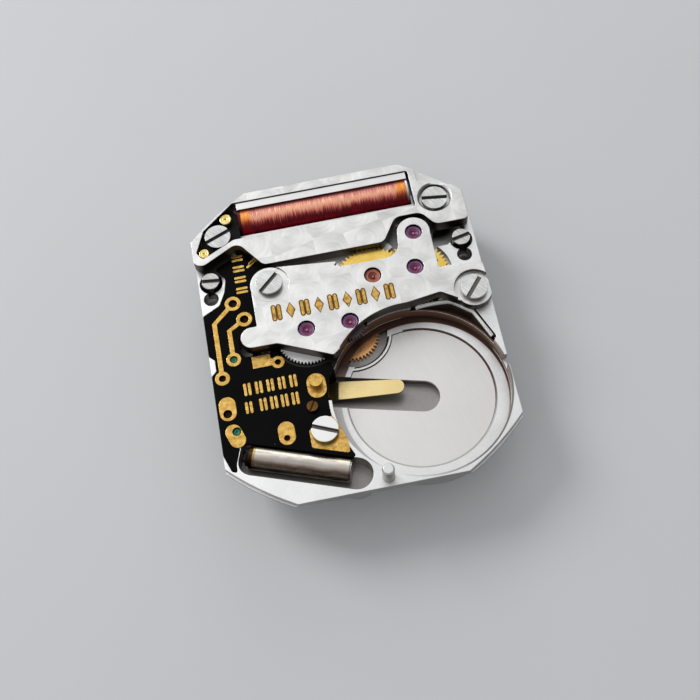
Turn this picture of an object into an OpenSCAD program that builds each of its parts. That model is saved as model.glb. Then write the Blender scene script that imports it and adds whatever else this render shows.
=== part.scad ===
// Small shaped quartz watch movement for two hands, drawn with its battery side up.
// The origin is on the axis of the hands, in the face that the dial lies on.
// +Z points away from the dial and +Y towards the coil. All sizes are in millimetres.

/* [Plate] */
// Width across the two long sides
plate_w = 13.2; // [13.2:0.1:13.6]
// Length across the two short sides
plate_h = 15.6; // [15.6:0.1:16.0]
// Half length of a short side, up to its cut corner
corner_x = 3.9; // [3.8:0.1:4.2]
// Half length of a long side, up to its cut corner
corner_y = 5.75; // [5.7:0.05:5.9]
// How far the cut corners bow outwards
corner_bow = 0.12; // [0.08:0.01:0.2]
// Height of the rim above the dial seat
rim_z = 1.7; // [1.7:0.01:1.74]
// Height of the casing step round the cut corners
step_z = 1.4; // [1.36:0.02:1.44]
// Height of the underside of the flange round the battery end
flange_z = 1.28; // [1.24:0.02:1.32]
// How far the body below that flange is set back
flange_out = 0.62; // [0.5:0.02:0.64]
// Depth of the casing step
corner_step = 0.1; // [0.06:0.01:0.12]

/* [Battery well] */
// Diameter of the button cell that the well takes
cell_d = 7.9; // [7.7:0.1:7.9]
// Clearance between the cell and the wall of the well, on the radius
cell_clear = 0.05; // [0.04:0.01:0.06]
// Centre of the well, across
well_x = 2.5; // [2.4:0.05:2.5]
// Centre of the well, along
well_y = -3.66; // [-3.68:0.02:-3.62]
// Height of the ledge that carries the cell
ledge_z = 0.9; // [0.88:0.01:0.94]
// Diameter of the insulating disc in the floor of the well
disc_d = 6.64; // [6.4:0.04:6.8]
// Thickness of the insulating disc
disc_t = 0.12; // [0.08:0.01:0.14]
// How far the disc lies below the ledge
disc_drop = 0.06; // [0.03:0.01:0.08]

/* [Bridges] */
// Height of the flat back of both bridges above the dial seat
bridge_z = 2.35; // [2.34:0.01:2.42]
// Thickness of the train bridge over its wheels
bridge_web = 0.32; // [0.29:0.01:0.33]
// Diameter of the head of the bridge screws
bridge_head_d = 1.22; // [1.1:0.02:1.3]
// Diameter of the thread of the bridge screws
bridge_shank_d = 0.5; // [0.4:0.05:0.6]
// Height of a screw head
head_t = 0.28; // [0.2:0.02:0.3]
// Width of a screwdriver slot
slot_w = 0.19; // [0.14:0.01:0.22]

/* [Jewels] */
// Outer diameter of a jewel
jewel_d = 0.8; // [0.7:0.02:0.84]
// Thickness of a jewel
jewel_t = 0.22; // [0.18:0.01:0.24]
// Diameter of a pivot
pivot_d = 0.12; // [0.1:0.01:0.14]
// Running clearance of a pivot or bore, on the radius
run_clear = 0.02; // [0.015:0.005:0.03]
// Play of an arbor along its axis, at each end
end_shake = 0.04; // [0.02:0.01:0.04]

/* [Train] */
// Leaves of the rotor pinion
rotor_leaves = 8; // [8:1:9]
// Teeth of the step wheel
step_teeth = 48; // [46:1:52]
// Leaves of the step pinion
step_leaves = 10; // [10:1:12]
// Teeth of the intermediate wheel
inter_teeth = 50; // [46:1:50]
// Leaves of the intermediate pinion
inter_leaves = 9; // [8:1:10]
// Teeth of the third wheel
third_teeth = 36; // [34:1:38]
// Leaves of the third pinion
third_leaves = 14; // [13:1:15]
// Teeth of the centre wheel
centre_teeth = 42; // [41:1:44]
// Leaves of the centre pinion that the setting wheel meshes with
centre_leaves = 24; // [23:1:25]
// Teeth of the setting wheel
setting_teeth = 56; // [54:1:58]
// Thickness of a wheel
wheel_t = 0.12; // [0.1:0.01:0.13]

/* [Motion work] */
// Teeth of the cannon pinion
cannon_teeth = 10; // [10:1:11]
// Teeth of the minute wheel
minute_teeth = 30; // [29:1:31]
// Leaves of the minute wheel's pinion
minute_leaves = 8; // [8:1:9]
// Teeth of the hour wheel
hour_teeth = 32; // [31:1:33]
// Diameter of the seat of the minute hand
minute_seat_d = 0.6; // [0.5:0.02:0.6]
// Diameter of the seat of the hour hand
hour_seat_d = 1.1; // [1.0:0.02:1.16]
// How far the minute hand's seat stands out of the dial side
minute_seat_z = 1.25; // [1.1:0.05:1.5]
// How far the hour hand's seat stands out of the dial side
hour_seat_z = 0.75; // [0.6:0.05:0.9]

/* [Coil] */
// Diameter of the copper winding
coil_d = 1.44; // [1.36:0.02:1.44]
// Length of the winding with its bare ends
coil_len = 8.06; // [7.9:0.02:8.06]
// Height of the coil's axis above the dial seat
coil_z = 1.52; // [1.5:0.01:1.52]
// Thickness of the stator
stator_t = 0.3; // [0.26:0.01:0.32]

/* [Circuit] */
// Thickness of the circuit board
board_t = 0.2; // [0.16:0.01:0.2]
// Thickness of the gold tracks
track_t = 0.03; // [0.02:0.01:0.04]
// Width of the gold tracks
track_w = 0.22; // [0.18:0.01:0.26]
// Diameter of the crystal's can
can_d = 1.04; // [0.98:0.02:1.06]
// Length of the crystal's can
can_len = 4.4; // [4.2:0.05:4.5]
// Thickness of the battery spring and contact
spring_t = 0.1; // [0.08:0.01:0.12]

/* [Dial feet] */
// Diameter of the hole for a dial foot
foot_d = 0.7; // [0.6:0.02:0.72]
// Diameter of the flange of a dial screw
flange_d = 1.0; // [0.9:0.02:1.04]

/* [Hidden] */
$fn = 64;
far = 20;
gap = 0.04;

// Places on the back of the movement
rotor_at = [3.75, 3.95];
step_at = [3.45, 2.12];
inter_at = [1.45, 2.09];
setting_at = [-2.0, 0.03];
minute_at = [-1.3, 0];
train_screw_at = [[-3.3, 2.65], [5.85, 0.5]];
train_screw_turn = [43, 50];
coil_screw_at = [[-5.32, 5.73], [5.12, 5.62]];
coil_screw_turn = [22, -8];
board_screw_at = [-2.03, -4.78];
dial_screw_at = [[-6.0, 3.6], [5.93, 3.45]];
foot_at = [[-6.1, 2.78], [5.92, 2.63]];
crystal_mid = [-3.42, -5.9];
crystal_turn = -19.5;
strap_pin_at = [0.28, -7.36];
post_at = [-2.03, -2.45];
stud_at = [-2.38, -3.55];
chip_at = [-4.25, -2.6];
cover_screw_at = [[-0.75, 1.66], [-0.75, -1.66]];
terminal_at = [[-4.83, 6.6], [-6.07, 4.95]];

// Heights and radii that follow from the settings
well_r = cell_d / 2 + cell_clear;
wall_z = 1.46;
well_wall = 0.1;
cell_wall_z = 1.25;
ring_t = 0.1;
ring_w = 0.27;
tray_z = 0.66;
setback_y = -2.6;
disc_top = ledge_z - disc_drop;
disc_z = disc_top - disc_t;
window_r = 1.64;
lip_r = 1.84;
board_z = rim_z - board_t;
web_z = bridge_z - bridge_web;
arbor_top = web_z - end_shake;
pivot_r = pivot_d / 2;
hole_r = pivot_r + run_clear;
arbor_r = 0.13;
side_clear = 0.1;
screw_seat_z = [2.27, 2.14];
coil_x = -0.1;
coil_y = 6.65;
core_w = 0.6;
core_t = 2 * (rim_z - coil_z);
core_z = coil_z - core_t / 2;
stator_z = core_z - stator_t;
block_top = 2.0;
cheek = 0.1;
rotor_low = 0.97;
magnet_r = 0.48;
magnet_t = 0.4;
pole_r = 0.58;
rotor_pinion_z = 1.49;
step_wheel_z = 1.54;
step_low = 1.46;
step_pinion_z = 1.78;
inter_low = 1.24;
inter_pinion_z = 1.28;
inter_wheel_z = 1.83;
third_wheel_z = 1.34;
third_pinion_z = 0.64;
centre_floor = 0.58;
centre_wheel_z = 0.64;
centre_pinion_z = 1.52;
setting_wheel_z = 1.54;
setting_low = 1.5;
centre_r = 0.22;
third_post_r = 0.1;
hub_r = 0.2;
recess_z = 0.5;
seat_taper = 0.02;
cannon_bore_r = 0.14;
cover_t = 0.16;
hour_wheel_z = 0.2;
minute_wheel_z = 0.36;
cannon_z = 0.34;
minute_post_r = 0.12;
stem_z = 1.12;
stem_r = 0.32;
clutch_r = 0.46;
clutch_at = -4.65;
clutch_len = 0.85;
groove_x = -4.34;
groove_w = 0.22;
groove_r = 0.3;
key_floor = 0.58;
yoke_at = [-4.19, -1.2];
lever_at = [-5.5, -1.0];
post_r = 0.14;
lever_z = 1.06;
lever_t = 0.2;
lever_r = 0.4;
slot_end = [2.6, -3.67];
slot_r = 0.75;
slot_turn = 165.5;
slot_floor = 0.42;
stud_r = 0.14;
stud_low = 1.2;
strap_pin_r = 0.27;
strap_pin_low = 1.36;
strap_pin_top = 2.75;
can_z = 1.35;
can_room_z = 0.78;

function unit(v) = v / norm(v);
function polar(r, a) = [r * cos(a), r * sin(a)];
function heading(a, b) = atan2(b.y - a.y, b.x - a.x);
function arc(c, r, a0, a1, n = 12) = [for (k = [0 : n]) c + polar(r, a0 + (a1 - a0) * k / n)];
function short_turn(a0, a1) = (a1 - a0 + 540) % 360 - 180;
// The point at distance ra from a and rb from b, on the right of the way from a to b
function meet(a, ra, b, rb) =
    let (d = norm(b - a), along = (ra * ra - rb * rb + d * d) / (2 * d), u = (b - a) / d)
    a + along * u + sqrt(ra * ra - along * along) * [u.y, -u.x];
// A shallow arc from p to q that stands s off its chord, on the left of the way
function bow(p, q, s, n = 6) =
    let (c = norm(q - p), r = c * c / (8 * s) + s / 2, u = (q - p) / c,
        o = (p + q) / 2 - (r - s) * [-u.y, u.x], a0 = heading(o, p))
    arc(o, r, a0, a0 + short_turn(a0, heading(o, q)), n);
// The arc that rounds the corner b between a and c
function corner(a, b, c, r, n) =
    let (u = unit(a - b), v = unit(c - b), half = acos(u * v) / 2, p = b + u * r / tan(half),
        o = b + unit(u + v) * r / sin(half), q = b + v * r / tan(half), a0 = heading(o, p))
    arc(o, r, a0, a0 + short_turn(a0, heading(o, q)), n);
// A closed outline from corners [x, y, radius]
function rounded(pts, n = 5) =
    let (m = len(pts))
    [for (i = [0 : m - 1])
        let (a = pts[(i + m - 1) % m], b = pts[i], c = pts[(i + 1) % m])
        each (b[2] > 0 ? corner([a.x, a.y], [b.x, b.y], [c.x, c.y], b[2], n) : [[b.x, b.y]])];
function flat(pts) = [for (p = pts) [p.x, p.y, 0]];
// Outline of the plate; cut draws its corners in, and side its straight sides
function plate_points(cut, side = 0) =
    let (lean = atan((plate_h / 2 - corner_y) / (plate_w / 2 - corner_x)),
        x = corner_x + (side * cos(lean) - cut) / sin(lean),
        y = corner_y + (side * sin(lean) - cut) / cos(lean),
        w = plate_w / 2 - side, h = plate_h / 2 - side)
    concat(bow([x, h], [w, y], corner_bow), bow([w, -y], [x, -h], corner_bow),
        bow([-x, -h], [-w, -y], corner_bow), bow([-w, y], [-x, h], corner_bow));
// Module of a gear pair, from its two centres
function pair_m(a, b, p, q) = 2 * norm(a - b) / (p + q);
// Outline of a wheel's teeth; tip and root are half widths in pitches
function tooth_points(teeth, m, turn, tip = 0.13, root = 0.33, ded = 1.2) =
    let (r = teeth * m / 2, p = 360 / teeth)
    [for (i = [0 : teeth - 1])
        each [polar(r - ded * m, turn + p * (i - root)), polar(r + m, turn + p * (i - tip)),
            polar(r + m, turn + p * (i + tip)), polar(r - ded * m, turn + p * (i + root))]];
// Outline of the opening between two arms of a wheel
function crossing(r0, r1, sweep, turn) =
    concat(arc([0, 0], r1, turn + sweep * 0.1, turn + sweep * 0.9, 8),
        arc([0, 0], r0, turn + sweep * 0.78, turn + sweep * 0.22, 5));
// Outline of a band of width w along the points p
function band(p, w) =
    let (n = len(p), side = [for (i = [0 : n - 1])
        let (d = unit(p[min(i + 1, n - 1)] - p[max(i - 1, 0)])) [-d.y, d.x] * w / 2])
    concat([for (i = [0 : n - 1]) p[i] + side[i]], [for (i = [n - 1 : -1 : 0]) p[i] - side[i]]);

third_at = meet(inter_at, 1.3, [0, 0], 1.6);
rotor_m = pair_m(rotor_at, step_at, rotor_leaves, step_teeth);
step_m = pair_m(step_at, inter_at, step_leaves, inter_teeth);
inter_m = pair_m(inter_at, third_at, inter_leaves, third_teeth);
third_m = pair_m(third_at, [0, 0], third_leaves, centre_teeth);
setting_m = pair_m([0, 0], setting_at, centre_leaves, setting_teeth);
cannon_m = pair_m([0, 0], minute_at, cannon_teeth, minute_teeth);
hour_m = pair_m([0, 0], minute_at, minute_leaves, hour_teeth);
step_room = step_teeth * rotor_m / 2 + rotor_m + side_clear;
inter_room = inter_teeth * step_m / 2 + step_m + gap;
third_room = third_teeth * inter_m / 2 + inter_m + side_clear;
hour_room = hour_teeth * hour_m / 2 + hour_m + side_clear;
minute_room = minute_teeth * cannon_m / 2 + cannon_m + side_clear;

// Lower edge and opening of the coil bridge, and the black block in that opening
coil_bridge_edge = [[-7.4, 5.4, 0], [-6.32, 4.16, 0.42], [-4.45, 5.14, 0.45], [-3.4, 3.72, 0.35],
    [2.3, 3.72, 0.4], [3.06, 4.92, 0.5], [4.3, 4.92, 0.55], [4.86, 4.15, 0.45], [6.46, 4.15, 0.25],
    [6.46, 9, 0], [-7.4, 9, 0]];
coil_opening = [[4.15, 5.34, 0.06], [4.15, 7.36, 0.14], [-4.4, 7.36, 0.1], [-5.95, 6.1, 0.25],
    [-6.42, 4.98, 0.12], [-6.16, 4.58, 0.15], [-4.6, 5.34, 0.5]];
block_edge = [[-4.26, 5.38, 0], [-4.26, 6.9, 0.05], [-4.5, 7.2, 0.08], [-5.9, 6.06, 0.25],
    [-6.36, 4.98, 0.1], [-6.14, 4.63, 0.12], [-4.62, 5.38, 0.5]];
// Edge of the train bridge: the nose, the arc along the well, the right end and the rotor arm
train_bridge_edge = rounded(concat(
    [[-4.18, 2.3, 0], [-4.18, 0.6, 0.06], [-4.99, 0.6, 0.48], [-4.99, -0.4, 0.48],
        [-3.4, -0.42, 0.4], [-1.02, -1.5, 0.12], [-0.7, -1.26, 0]],
    flat(arc([well_x, well_y], well_r + gap, 142, 87)),
    [[4.3, 0.6, 0.3], [5.12, 0.05, 0], [5.85, 0.5, 0], [6.55, 1.0, 0], [6.5, 1.84, 0.3],
        [4.5, 1.84, 0.06], [4.5, 3.9, 0], [2.96, 3.9, 0.1], [2.86, 2.84, 0.7],
        [0.06, 2.84, 0.05], [-0.12, 3.16, 0.05], [-3.3, 3.5, 0]]));
board_edge = rounded(concat(
    [[-6.6, 1.95, 0.12], [-5.78, 2.36, 0.25], [-5.46, 3.0, 0.2], [-5.3, 3.7, 0.3],
        [-5.75, 4.3, 0.15], [-4.45, 4.95, 0.2], [-3.1, 4.95, 0.1], [-3.1, 3.56, 0.05],
        [-4.22, 3.3, 0.3], [-4.22, 0.66, 0.06], [-4.9, 0.72, 0.25], [-5.16, 0.4, 0.15],
        [-5.16, -0.25, 0.15], [-4.95, -0.5, 0.1]],
    flat(arc(setting_at, 1.64, 200, 284)),
    [[-1.2, -1.5, 0.12], [-1.14, -1.92, 0.1]],
    flat(arc([well_x, well_y], well_r + 0.14, 158, 210)),
    [[-0.86, -6.24, 0.1], [-1.16, -6.16, 0], [-5.42, -4.65, 0.12], [-5.76, -4.62, 0.12],
        [-6.06, -5.5, 0.1], [-6.08, -5.9, 0.08], [-6.32, -5.8, 0.2], [-6.6, -5.0, 0.5],
        [-6.6, -1.15, 0.05], [-6.36, -0.92, 0.1], [-6.36, -0.38, 0.1], [-6.6, -0.15, 0.05]]));
stator_edge = [[-6.0, 5.2, 0.3], [-4.75, 5.1, 0.3], [-4.2, 4.1, 0.3], [2.55, 4.0, 0.3],
    [2.95, 3.15, 0.4], [4.5, 3.15, 0.4], [4.75, 4.3, 0.3], [5.8, 5.2, 0.4], [5.7, 6.15, 0.4],
    [4.45, 6.15, 0.4], [4.3, 5.4, 0.4], [4.0, 4.8, 0.3], [-3.7, 4.8, 0.3], [-4.75, 6.2, 0.4],
    [-5.9, 6.2, 0.4]];
core_edge = [[-4.5, 6.35, 0], [-4.5, 6.95, 0], [-4.72, 6.95, 0.1], [-5.75, 6.1, 0.3],
    [-5.95, 5.3, 0.3], [-4.8, 5.2, 0.3], [-4.62, 6.35, 0.2]];
core_edge_right = [[4.3, 6.95, 0], [4.3, 6.35, 0], [4.5, 5.9, 0.2], [4.6, 5.1, 0.3],
    [5.7, 5.15, 0.3], [5.7, 6.1, 0.3], [4.75, 6.95, 0.2]];
contact_room = [[2.6, 0.0, 0], [2.95, 0.52, 0.1], [4.75, 0.5, 0.25], [5.75, -0.3, 0.3],
    [6.36, -1.8, 0.1], [6.0, -2.3, 0], [4.5, -2.0, 0]];
contact_line = concat([[3.1, 0.36]], bow([3.22, 0.4], [4.6, 0.38], 0.04, 4),
    [[4.8, 0.31], [5.62, -0.37], [6.18, -1.72]]);
side_room = [[4.3, 3.3, 0], [5.3, 3.3, 0.2], [5.6, 3.7, 0.2], [6.25, 3.95, 0.15], [6.2, 4.5, 0.2],
    [5.3, 5.1, 0.2], [4.6, 4.6, 0]];
key_room = [[-5.98, 0.72, 0.2], [-3.3, 0.72, 0.2], [-3.1, -0.5, 0.1], [-3.6, -1.7, 0.2],
    [-5.98, -1.7, 0.2]];

module at(p, z = 0) { translate([p.x, p.y, z]) children(); }
module pin(r, z0, z1) { translate([0, 0, z0]) cylinder(r = r, h = z1 - z0); }
module slab(z0, z1) { translate([0, 0, z0]) linear_extrude(z1 - z0) children(); }
module plate_2d(cut = 0, side = 0) { polygon(plate_points(cut, side)); }

// A toothed wheel with a bore and, where arms is over 0, crossings between its arms
module wheel(teeth, m, turn, z, bore, arms = 0, tip = 0.13, t = wheel_t) {
    r = teeth * m / 2;
    slab(z, z + t) difference() {
        polygon(tooth_points(teeth, m, turn, tip));
        circle(bore);
        if (arms > 0) for (k = [0 : arms - 1])
            polygon(crossing(r * 0.4, r * 0.8, 360 / arms, turn + k * 360 / arms));
    }
}

// A pinion on its arbor, with a pivot at each end
module pinion(leaves, m, turn, z0, z1, low) {
    slab(z0, z1) polygon(tooth_points(leaves, m, turn, 0.12, 0.3));
    pin(arbor_r, low, arbor_top);
    pin(pivot_r, low - end_shake - jewel_t + 0.06, arbor_top + end_shake + jewel_t - 0.06);
}

// A slotted screw whose head rests at z
module screw(z, head_r, shank_r, z_end, head, turn, slot = slot_w) {
    difference() {
        union() {
            pin(head_r, z, z + head);
            pin(shank_r, z_end, z);
        }
        rotate([0, 0, turn]) translate([-2 * head_r, -slot / 2, z + head * 0.5])
            cube([4 * head_r, slot, head]);
    }
}

// A jewel with its oil sink on top
module jewel(z) {
    difference() {
        pin(jewel_d / 2, z, z + jewel_t);
        pin(hole_r, z - 1, z + 1);
        translate([0, 0, z + jewel_t - 0.1]) cylinder(r1 = hole_r, r2 = 0.26, h = 0.1001);
    }
}

// A slot with round ends along +X from the origin
module slot_2d(l, r) {
    circle(r);
    translate([0, -r]) square([l, 2 * r]);
    translate([l, 0]) circle(r);
}

module core_2d() {
    translate([-4.6, coil_y - core_w / 2]) square([8.95, core_w]);
    polygon(rounded(core_edge));
    polygon(rounded(core_edge_right));
}

module cover_2d(grow = 0) {
    circle(hour_room + 0.3 + grow);
    at(minute_at) circle(minute_room + 0.3 + grow);
    for (p = cover_screw_at) at(p) circle(0.46 + grow);
}

module motion_room_2d() {
    circle(hour_room);
    at(minute_at) circle(minute_room);
}

// The room for the crystal, or, grown, the tray round that room
module crystal_room_2d(grow = 0) {
    at(crystal_mid) rotate([0, 0, crystal_turn]) {
        translate([2.6, -0.19]) circle(0.72 + grow);
        polygon(rounded([[-2.6 - grow, 0.53 + grow, 0], [-2.6 - grow, -0.91 - grow, 0.6 + grow],
            [2.6, -0.91 - grow, 0], [2.6, 0.53 + grow, 0]]));
    }
}

// The body below the flange: full width at the coil's end, set back round the battery
module body_2d() {
    plate_2d(flange_out, flange_out);
    intersection() {
        plate_2d();
        translate([-far, setback_y]) square([2 * far, far]);
    }
}

// The opening over the centre wheel, less the ledge that crosses it
module window_2d() {
    difference() {
        circle(window_r);
        at([well_x, well_y]) difference() {
            circle(well_r + well_wall);
            circle(well_r - ring_w);
        }
    }
}

module main_plate() {
    color([0.86, 0.87, 0.88]) union() {
        difference() {
            union() {
                slab(0, tray_z) body_2d();
                slab(tray_z - 0.01, flange_z) intersection() {
                    plate_2d();
                    union() {
                        body_2d();
                        at([well_x, well_y]) circle(well_r + well_wall + 0.02);
                        crystal_room_2d(0.1);
                    }
                }
                slab(flange_z - 0.01, step_z) plate_2d();
                slab(step_z - 0.01, rim_z) intersection() {
                    plate_2d();
                    plate_2d(corner_step);
                }
            }
            // Battery well, with the seat of its disc and the slot of its spring
            at([well_x, well_y]) {
                pin(well_r, cell_wall_z - 0.01, far);
                translate([0, 0, ledge_z])
                    cylinder(r1 = well_r + 0.03, r2 = well_r, h = cell_wall_z - ledge_z);
            }
            slab(disc_z, far) difference() {
                at([well_x, well_y]) circle(disc_d / 2 + gap / 2);
                circle(lip_r);
            }
            at(slot_end) rotate([0, 0, slot_turn]) slab(slot_floor, far) slot_2d(4.75, slot_r);
            slab(ledge_z, far) difference() {
                polygon(rounded(contact_room));
                at([well_x, well_y]) circle(well_r + well_wall);
            }
            slab(wall_z, far) polygon(rounded(contact_room));
            translate([well_x + well_r - 0.4, -3.3, ledge_z + 0.3]) cube([2, 0.5, far]);
            // Centre wheel, and the bevel round its window in the well
            pin(window_r, centre_floor, ledge_z - ring_t);
            slab(centre_floor, far) window_2d();
            intersection() {
                translate([0, 0, ledge_z - 0.1]) cylinder(r1 = window_r, r2 = window_r + 0.1, h = 0.101);
                at([well_x, well_y]) pin(disc_d / 2 + gap / 2, 0, far);
            }
            // Circuit board, its chip, and the crystal
            slab(board_z, far) polygon(board_edge);
            at(chip_at, board_z - 0.42) translate([-0.85, -0.75, 0]) cube([1.7, 1.5, 1]);
            slab(can_room_z, far) crystal_room_2d();
            // Seats of the wheels under the train bridge
            at(step_at) {
                pin(step_room, step_low - end_shake, far);
                pin(jewel_d / 2, step_low - end_shake - jewel_t, far);
            }
            at(inter_at) {
                pin(0.46, inter_low - end_shake, far);
                pin(jewel_d / 2, inter_low - end_shake - jewel_t, far);
            }
            at(third_at) {
                pin(third_room, third_wheel_z - 0.06, far);
                pin(third_leaves * third_m / 2 + third_m + side_clear, centre_floor, far);
            }
            at(setting_at) {
                pin(setting_teeth * setting_m / 2 + setting_m + side_clear, setting_low - end_shake, far);
                pin(hole_r, setting_low - end_shake - jewel_t, far);
            }
            pin(centre_r + run_clear, 0, far);
            pin(centre_leaves * setting_m / 2 + setting_m + side_clear, centre_pinion_z - end_shake, far);
            // Motor
            at(rotor_at) {
                pin(pole_r, rotor_low - end_shake, far);
                pin(jewel_d / 2, rotor_low - end_shake - jewel_t, far);
            }
            slab(stator_z, far) polygon(rounded(stator_edge));
            slab(core_z, far) core_2d();
            slab(1.0, far) polygon(rounded(side_room));
            translate([coil_x - coil_len / 2 - cheek - gap, coil_y, coil_z]) {
                rotate([0, 90, 0]) cylinder(r = coil_d / 2 + 0.08, h = coil_len + 2 * (cheek + gap));
                translate([0, -coil_d / 2 - 0.08, 0])
                    cube([coil_len + 2 * (cheek + gap), coil_d + 0.16, far]);
            }
            // Threads, dial feet and dial screws
            for (p = concat(train_screw_at, coil_screw_at, [board_screw_at]))
                at(p) pin(bridge_shank_d / 2 + 0.01, 0.45, far);
            for (p = foot_at) at(p) pin(foot_d / 2, -1, far);
            for (p = dial_screw_at) at(p) {
                pin(flange_d / 2 + gap, 1.0, far);
                pin(0.22 + run_clear, 0.35, far);
            }
            at(stud_at) pin(stud_r, stud_low, far);
            strap_taper();
            // Motion work, its cover, the stem and the keyless work
            slab(-1, recess_z) motion_room_2d();
            slab(-1, cover_t) cover_2d(0.02);
            for (p = cover_screw_at) at(p) pin(0.16, -1, 0.58);
            translate([-far, 0, stem_z]) rotate([0, 90, 0]) cylinder(r = stem_r, h = far - 5.5);
            slab(key_floor, far) polygon(rounded(key_room));
        }
        at(third_at) pin(third_post_r, centre_floor - 0.05, 1.5);
        at(minute_at) pin(minute_post_r, cover_t + 0.02, recess_z + 0.05);
        for (p = [yoke_at, lever_at]) at(p) {
            pin(0.26, key_floor - 0.05, lever_z - 0.02);
            pin(post_r, key_floor, 1.3);
        }
    }
}

// The tapered end of the strap's pin, which is driven into the plate
module strap_taper() {
    at(strap_pin_at, strap_pin_low)
        cylinder(r1 = strap_pin_r - 0.02, r2 = strap_pin_r, h = rim_z + 0.02 - strap_pin_low);
}

module well_disc() {
    color([0.7, 0.69, 0.68]) slab(disc_z, disc_top) difference() {
        at([well_x, well_y]) circle(disc_d / 2);
        circle(lip_r + gap);
        at(slot_end) rotate([0, 0, slot_turn]) slot_2d(4.75, slot_r);
    }
}

module coil_bridge() {
    color([0.84, 0.85, 0.86]) difference() {
        slab(rim_z, bridge_z) difference() {
            intersection() {
                plate_2d();
                plate_2d(corner_step);
                polygon(rounded(coil_bridge_edge));
            }
            polygon(rounded(coil_opening));
        }
        at(inter_at) pin(inter_room, 0, web_z);
        at(coil_screw_at[1]) {
            pin(bridge_shank_d / 2 + 0.02, 0, far);
            pin(bridge_head_d / 2 + 0.13, 2.02, far);
            translate([0, 0, bridge_z - 0.08]) cylinder(r1 = bridge_head_d / 2 + 0.13,
                r2 = bridge_head_d / 2 + 0.21, h = 0.081);
        }
        slab(bridge_z - 0.14, far)
            polygon([[4.5, 9], [4.5, 6.62], [5.0, 6.44], [5.8, 6.2], [7, 5.9], [7, 9]]);
    }
}

module train_bridge_2d() {
    difference() {
        union() {
            polygon(train_bridge_edge);
            at(train_screw_at[0]) circle(0.9);
            at(train_screw_at[1]) circle(0.83);
            at(rotor_at) circle(0.77);
        }
        polygon([[-0.2, 2.98], [-0.14, 2.93], [0.12, 3.2], [0.04, 3.26]]);
    }
}

module train_bridge() {
    color([0.88, 0.89, 0.9]) difference() {
        slab(rim_z, bridge_z) intersection() {
            plate_2d();
            train_bridge_2d();
        }
        // Rooms for the wheels and pinions below the web
        at(inter_at) pin(inter_room, 0, web_z);
        at(step_at) pin(0.52, 0, web_z);
        at(rotor_at) pin(0.46, 0, web_z);
        at(setting_at) pin(0.3, 0, web_z);
        pin(0.76, 0, web_z);
        for (p = [rotor_at, step_at, inter_at, [0, 0], setting_at]) at(p) pin(jewel_d / 2, 0, far);
        for (k = [0, 1]) at(train_screw_at[k]) {
            pin(bridge_shank_d / 2 + 0.02, 0, far);
            pin(0.92, screw_seat_z[k], far);
        }
    }
}

module upper_jewels() {
    color([0.55, 0.12, 0.35])
        for (p = [rotor_at, step_at, inter_at, [0, 0], setting_at]) at(p) jewel(web_z);
}

module lower_jewels() {
    color([0.55, 0.12, 0.35]) {
        at(rotor_at) jewel(rotor_low - end_shake - jewel_t);
        at(step_at) jewel(step_low - end_shake - jewel_t);
        at(inter_at) jewel(inter_low - end_shake - jewel_t);
    }
}

module stator() {
    color([0.5, 0.5, 0.52]) slab(stator_z, core_z) difference() {
        polygon(rounded(stator_edge));
        at(rotor_at) circle(pole_r);
        for (a = [40, 220]) at(rotor_at + polar(pole_r + 0.02, a)) circle(0.08);
        for (p = coil_screw_at) at(p) circle(bridge_shank_d / 2 + 0.02);
    }
}

module coil_core() {
    color([0.6, 0.6, 0.62]) slab(core_z, rim_z) difference() {
        core_2d();
        for (p = coil_screw_at) at(p) circle(bridge_shank_d / 2 + 0.02);
    }
}

// Space that the core takes up inside the coil
module core_space() {
    translate([-far / 2, coil_y - core_w / 2, core_z]) cube([far, core_w, core_t]);
}

module coil_carrier() {
    color([0.82, 0.83, 0.85]) difference() {
        union() {
            for (x = [coil_x - coil_len / 2 - cheek, coil_x + coil_len / 2]) {
                translate([x, coil_y, coil_z]) rotate([0, 90, 0]) cylinder(r = coil_d / 2 + 0.04, h = cheek);
                translate([x, 6.96, coil_z]) cube([cheek, 0.36, 2.3 - coil_z]);
            }
            translate([coil_x - coil_len / 2 - cheek, 6.96, 2.2]) cube([coil_len + 2 * cheek, 0.36, 0.1]);
        }
        core_space();
    }
}

module coil_winding() {
    color([0.72, 0.32, 0.2]) difference() {
        translate([coil_x - coil_len / 2, coil_y, coil_z]) rotate([0, 90, 0])
            cylinder(r = coil_d / 2, h = coil_len);
        core_space();
    }
}

module coil_end_block() {
    color([0.05, 0.05, 0.06]) slab(rim_z, block_top) difference() {
        polygon(rounded(block_edge));
        at(coil_screw_at[0]) circle(bridge_shank_d / 2 + 0.02);
        for (p = terminal_at) at(p) circle(0.14);
    }
}

module coil_terminals() {
    color([0.85, 0.72, 0.4]) {
        at(terminal_at[0]) { pin(0.14, rim_z, block_top); pin(0.29, block_top, 2.26); }
        at(terminal_at[1]) { pin(0.14, rim_z, block_top); pin(0.25, block_top, 2.26); }
    }
}

module rotor_magnet() {
    color([0.45, 0.45, 0.47]) at(rotor_at) difference() {
        pin(magnet_r, rotor_low + 0.03, rotor_low + 0.03 + magnet_t);
        pin(arbor_r, 0, far);
    }
}
module rotor_pinion() {
    color([0.75, 0.76, 0.78]) at(rotor_at)
        pinion(rotor_leaves, rotor_m, heading(rotor_at, step_at), rotor_pinion_z, 1.72, rotor_low);
}
module step_wheel() {
    color([0.83, 0.7, 0.4]) at(step_at)
        wheel(step_teeth, rotor_m, heading(step_at, rotor_at) + 180 / step_teeth, step_wheel_z, arbor_r, 5);
}
module step_pinion() {
    color([0.75, 0.76, 0.78]) at(step_at)
        pinion(step_leaves, step_m, heading(step_at, inter_at), step_pinion_z, arbor_top, step_low);
}
module intermediate_wheel() {
    color([0.85, 0.72, 0.38]) at(inter_at)
        wheel(inter_teeth, step_m, heading(inter_at, step_at) + 180 / inter_teeth, inter_wheel_z, arbor_r, 0);
}
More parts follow.
